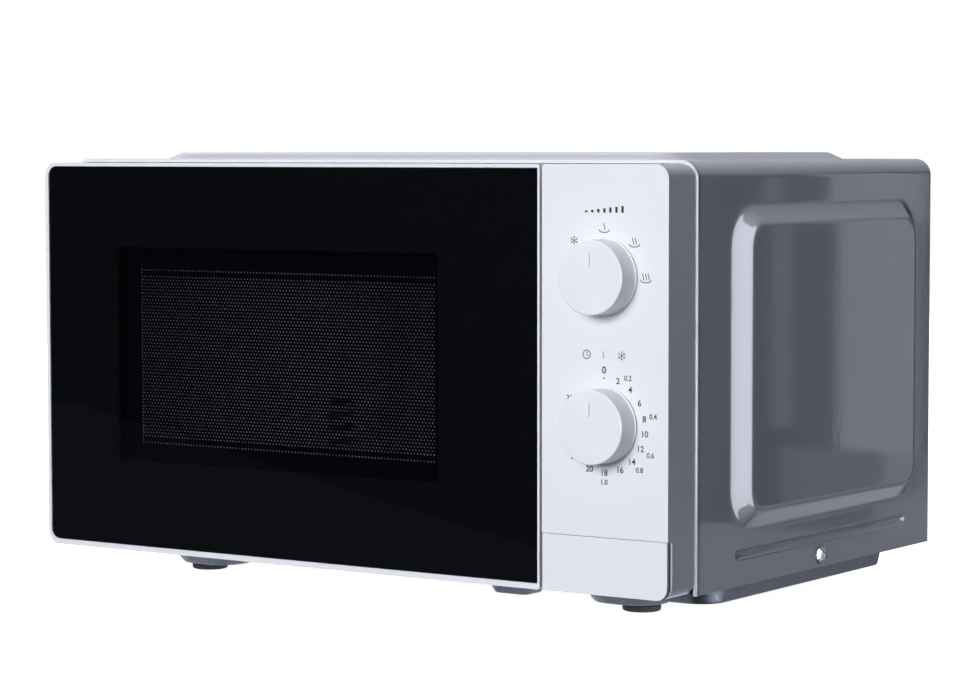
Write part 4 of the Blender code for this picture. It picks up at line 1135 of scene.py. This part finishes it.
def build_print(m):
    """Generic marks: bars for power, bowls and flakes for its settings, a clock and the minutes."""
    marks = []
    for k in range(7):
        x = KNOB_X - 11.4 + 3.8 * k
        marks.append(stroke([(x, 225.4), (x, 226.5 + 0.42 * k)], 1.5))
    for waves, angle, r in ((1, 0, 26.3), (2, 45, 26.6), (3, 90, 26.0)):
        marks += bowl(*dial_point(POWER_Z, angle, r), waves)
    marks += flake(*dial_point(POWER_Z, -45, 27.0), 2.4)
    marks.append(disc(*dial_point(POWER_Z, -90, 24.6), 0.5))

    clock_x, clock_z = KNOB_X - 11.0, 149.3
    marks.append(stroke(circle(clock_x, clock_z, 2.3, 28), 0.5, closed=True))
    marks.append(stroke([(clock_x, clock_z + 1.6), (clock_x, clock_z), (clock_x + 1.2, clock_z - 0.7)], 0.42))
    marks.append(stroke([(KNOB_X - 0.6, 147.4), (KNOB_X - 0.6, 151.3)], 0.42))
    marks += flake(KNOB_X + 11.0, clock_z, 2.5)

    marks.append(numeral("0", *dial_point(TIMER_Z, 0, 29.6), 5.4))
    marks.append(disc(*dial_point(TIMER_Z, 0, 25.4), 0.5))
    minutes = [(2, 20), (4, 40), (6, 60), (8, 80), (10, 98), (12, 117), (14, 137), (16, 157), (18, 180),
               (20, 201), (25, 227), (30, 264), (35, 302)]
    for value, angle in minutes:
        marks.append(numeral(str(value), *dial_point(TIMER_Z, angle, 25.6), 4.7))
    weights = [(0.2, 30, 29.8), (0.4, 79, 31.2), (0.6, 117, 32.6), (0.8, 136, 32.0), (1.0, 180, 30.6)]
    for value, angle, r in weights:
        marks.append(numeral("%.1f" % value, *dial_point(TIMER_Z, angle, r), 3.9))

    film = 0.03
    bm = merged(marks)
    for vert in bm.verts:
        vert.co.y = FACE_Y - film
    for f in bm.faces:
        f.normal_update()
        if f.normal.y > 0:
            f.normal_flip()
    piece("panel_marks", bm, m["ink"], "cabinet", sheet=film)


# ------------------------------------------------------------------ turntable

def build_tray(m):
    """The glass plate's profile: (radius, height) over the underside at z = base."""
    base = 45.7
    profile = [(0.0, 0.6), (15.0, 0.6), (16.0, 0.0), (20.0, 0.0), (21.0, 0.6), (84.0, 0.6), (85.0, 0.0),
               (99.0, 0.0), (104.0, 0.3), (110.0, 2.0), (116.0, 5.6), (120.6, 10.6), (122.3, 13.0),
               (122.4, 13.9), (121.9, 14.4), (121.1, 14.3), (119.0, 11.6), (114.4, 7.2), (108.6, 4.6),
               (102.0, 4.0), (0.0, 4.0)]
    bm = turned([(r, base + h) for r, h in profile], "z", TURN_X, TURN_Y, 128)
    piece("tray_glass", bm, m["tray"], "tray", ["glass_turntable"], angle=40)


def build_button_spring(m):
    """The button's return spring, which the button shortens as it goes in; here it is built at its rest
    length, with a mesh of its own.
    """
    x, z, radius, wire = 192.0, 35.5, 4.5, 0.8
    cap_end, fixed_end = -151.4, -129.0
    bm = coil("y", x, z, cap_end, fixed_end, radius, wire, 6)
    obj = piece("return_spring", bm, m["spring"], "cabinet", ["button_spring"])
    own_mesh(obj)


def carry_over(m):
    """CAD nodes that keep their shape get a finish and a bevel, in millimetres, here."""
    plan = {
        "front_plate": ("enamel", 0.0), "cavity_shell": ("cavity", 0.0), "side_screw_right": ("bright", 0.12),
        "side_screw_left": ("bright", 0.12), "rear_screw": ("bright", 0.12), "cord_gland": ("rubber", 0.4),
        "door_panel": ("zinc", 0.0), "inner_window_film": ("film", 0.0), "choke_cover": ("grey", 0.3),
        "hinge_bracket_bottom": ("zinc", 0.2), "hinge_bracket_top": ("zinc", 0.2),
        "door_latch": ("natural", 0.4), "latch_spring": ("spring", 0.0), "power_shaft": ("bright", 0.3),
        "timer_shaft": ("bright", 0.3), "timer_mechanism": ("zinc", 0.5), "timer_bell": ("brass", 0.0),
        "latch_board": ("natural", 0.4), "release_lever": ("natural", 0.3),
        "door_switch_upper": ("black_plastic", 0.3), "door_switch_lower": ("black_plastic", 0.3),
        "door_monitor_switch": ("black_plastic", 0.3), "magnetron_body": ("aluminium", 0.0),
        "waveguide": ("zinc", 0.0), "mica_cover": ("mica", 0.0), "transformer_core": ("lamination", 0.3),
        "transformer_winding": ("copper", 0.8), "hv_capacitor": ("aluminium", 0.6),
        "capacitor_clamp": ("zinc", 0.0), "hv_diode": ("black_plastic", 0.3),
        "fan_motor": ("lamination", 0.3), "fan_shroud": ("grey", 0.5), "fan_blade": ("black_plastic", 0.0),
        "lamp_holder": ("natural", 0.3), "cavity_lamp": ("bulb", 0.0),
        "noise_filter_board": ("board", 0.2), "thermal_cutout": ("black_plastic", 0.3),
        "turntable_motor": ("zinc", 0.4), "turntable_coupler": ("natural", 0.4),
        "roller_ring": ("natural", 0.3), "roller_1": ("natural", 0.2), "roller_2": ("natural", 0.2),
        "roller_3": ("natural", 0.2),
    }
    for node, (mat, bevel) in plan.items():
        refine(node, m[mat], bevel)


make_camera()
make_studio()
MATS = make_materials()
build_case(MATS)
build_base_pan(MATS)
build_back(MATS)
build_feet(MATS)
build_door(MATS)
build_screen(MATS)
build_panel(MATS)
build_knobs(MATS)
build_print(MATS)
build_tray(MATS)
build_button_spring(MATS)
carry_over(MATS)
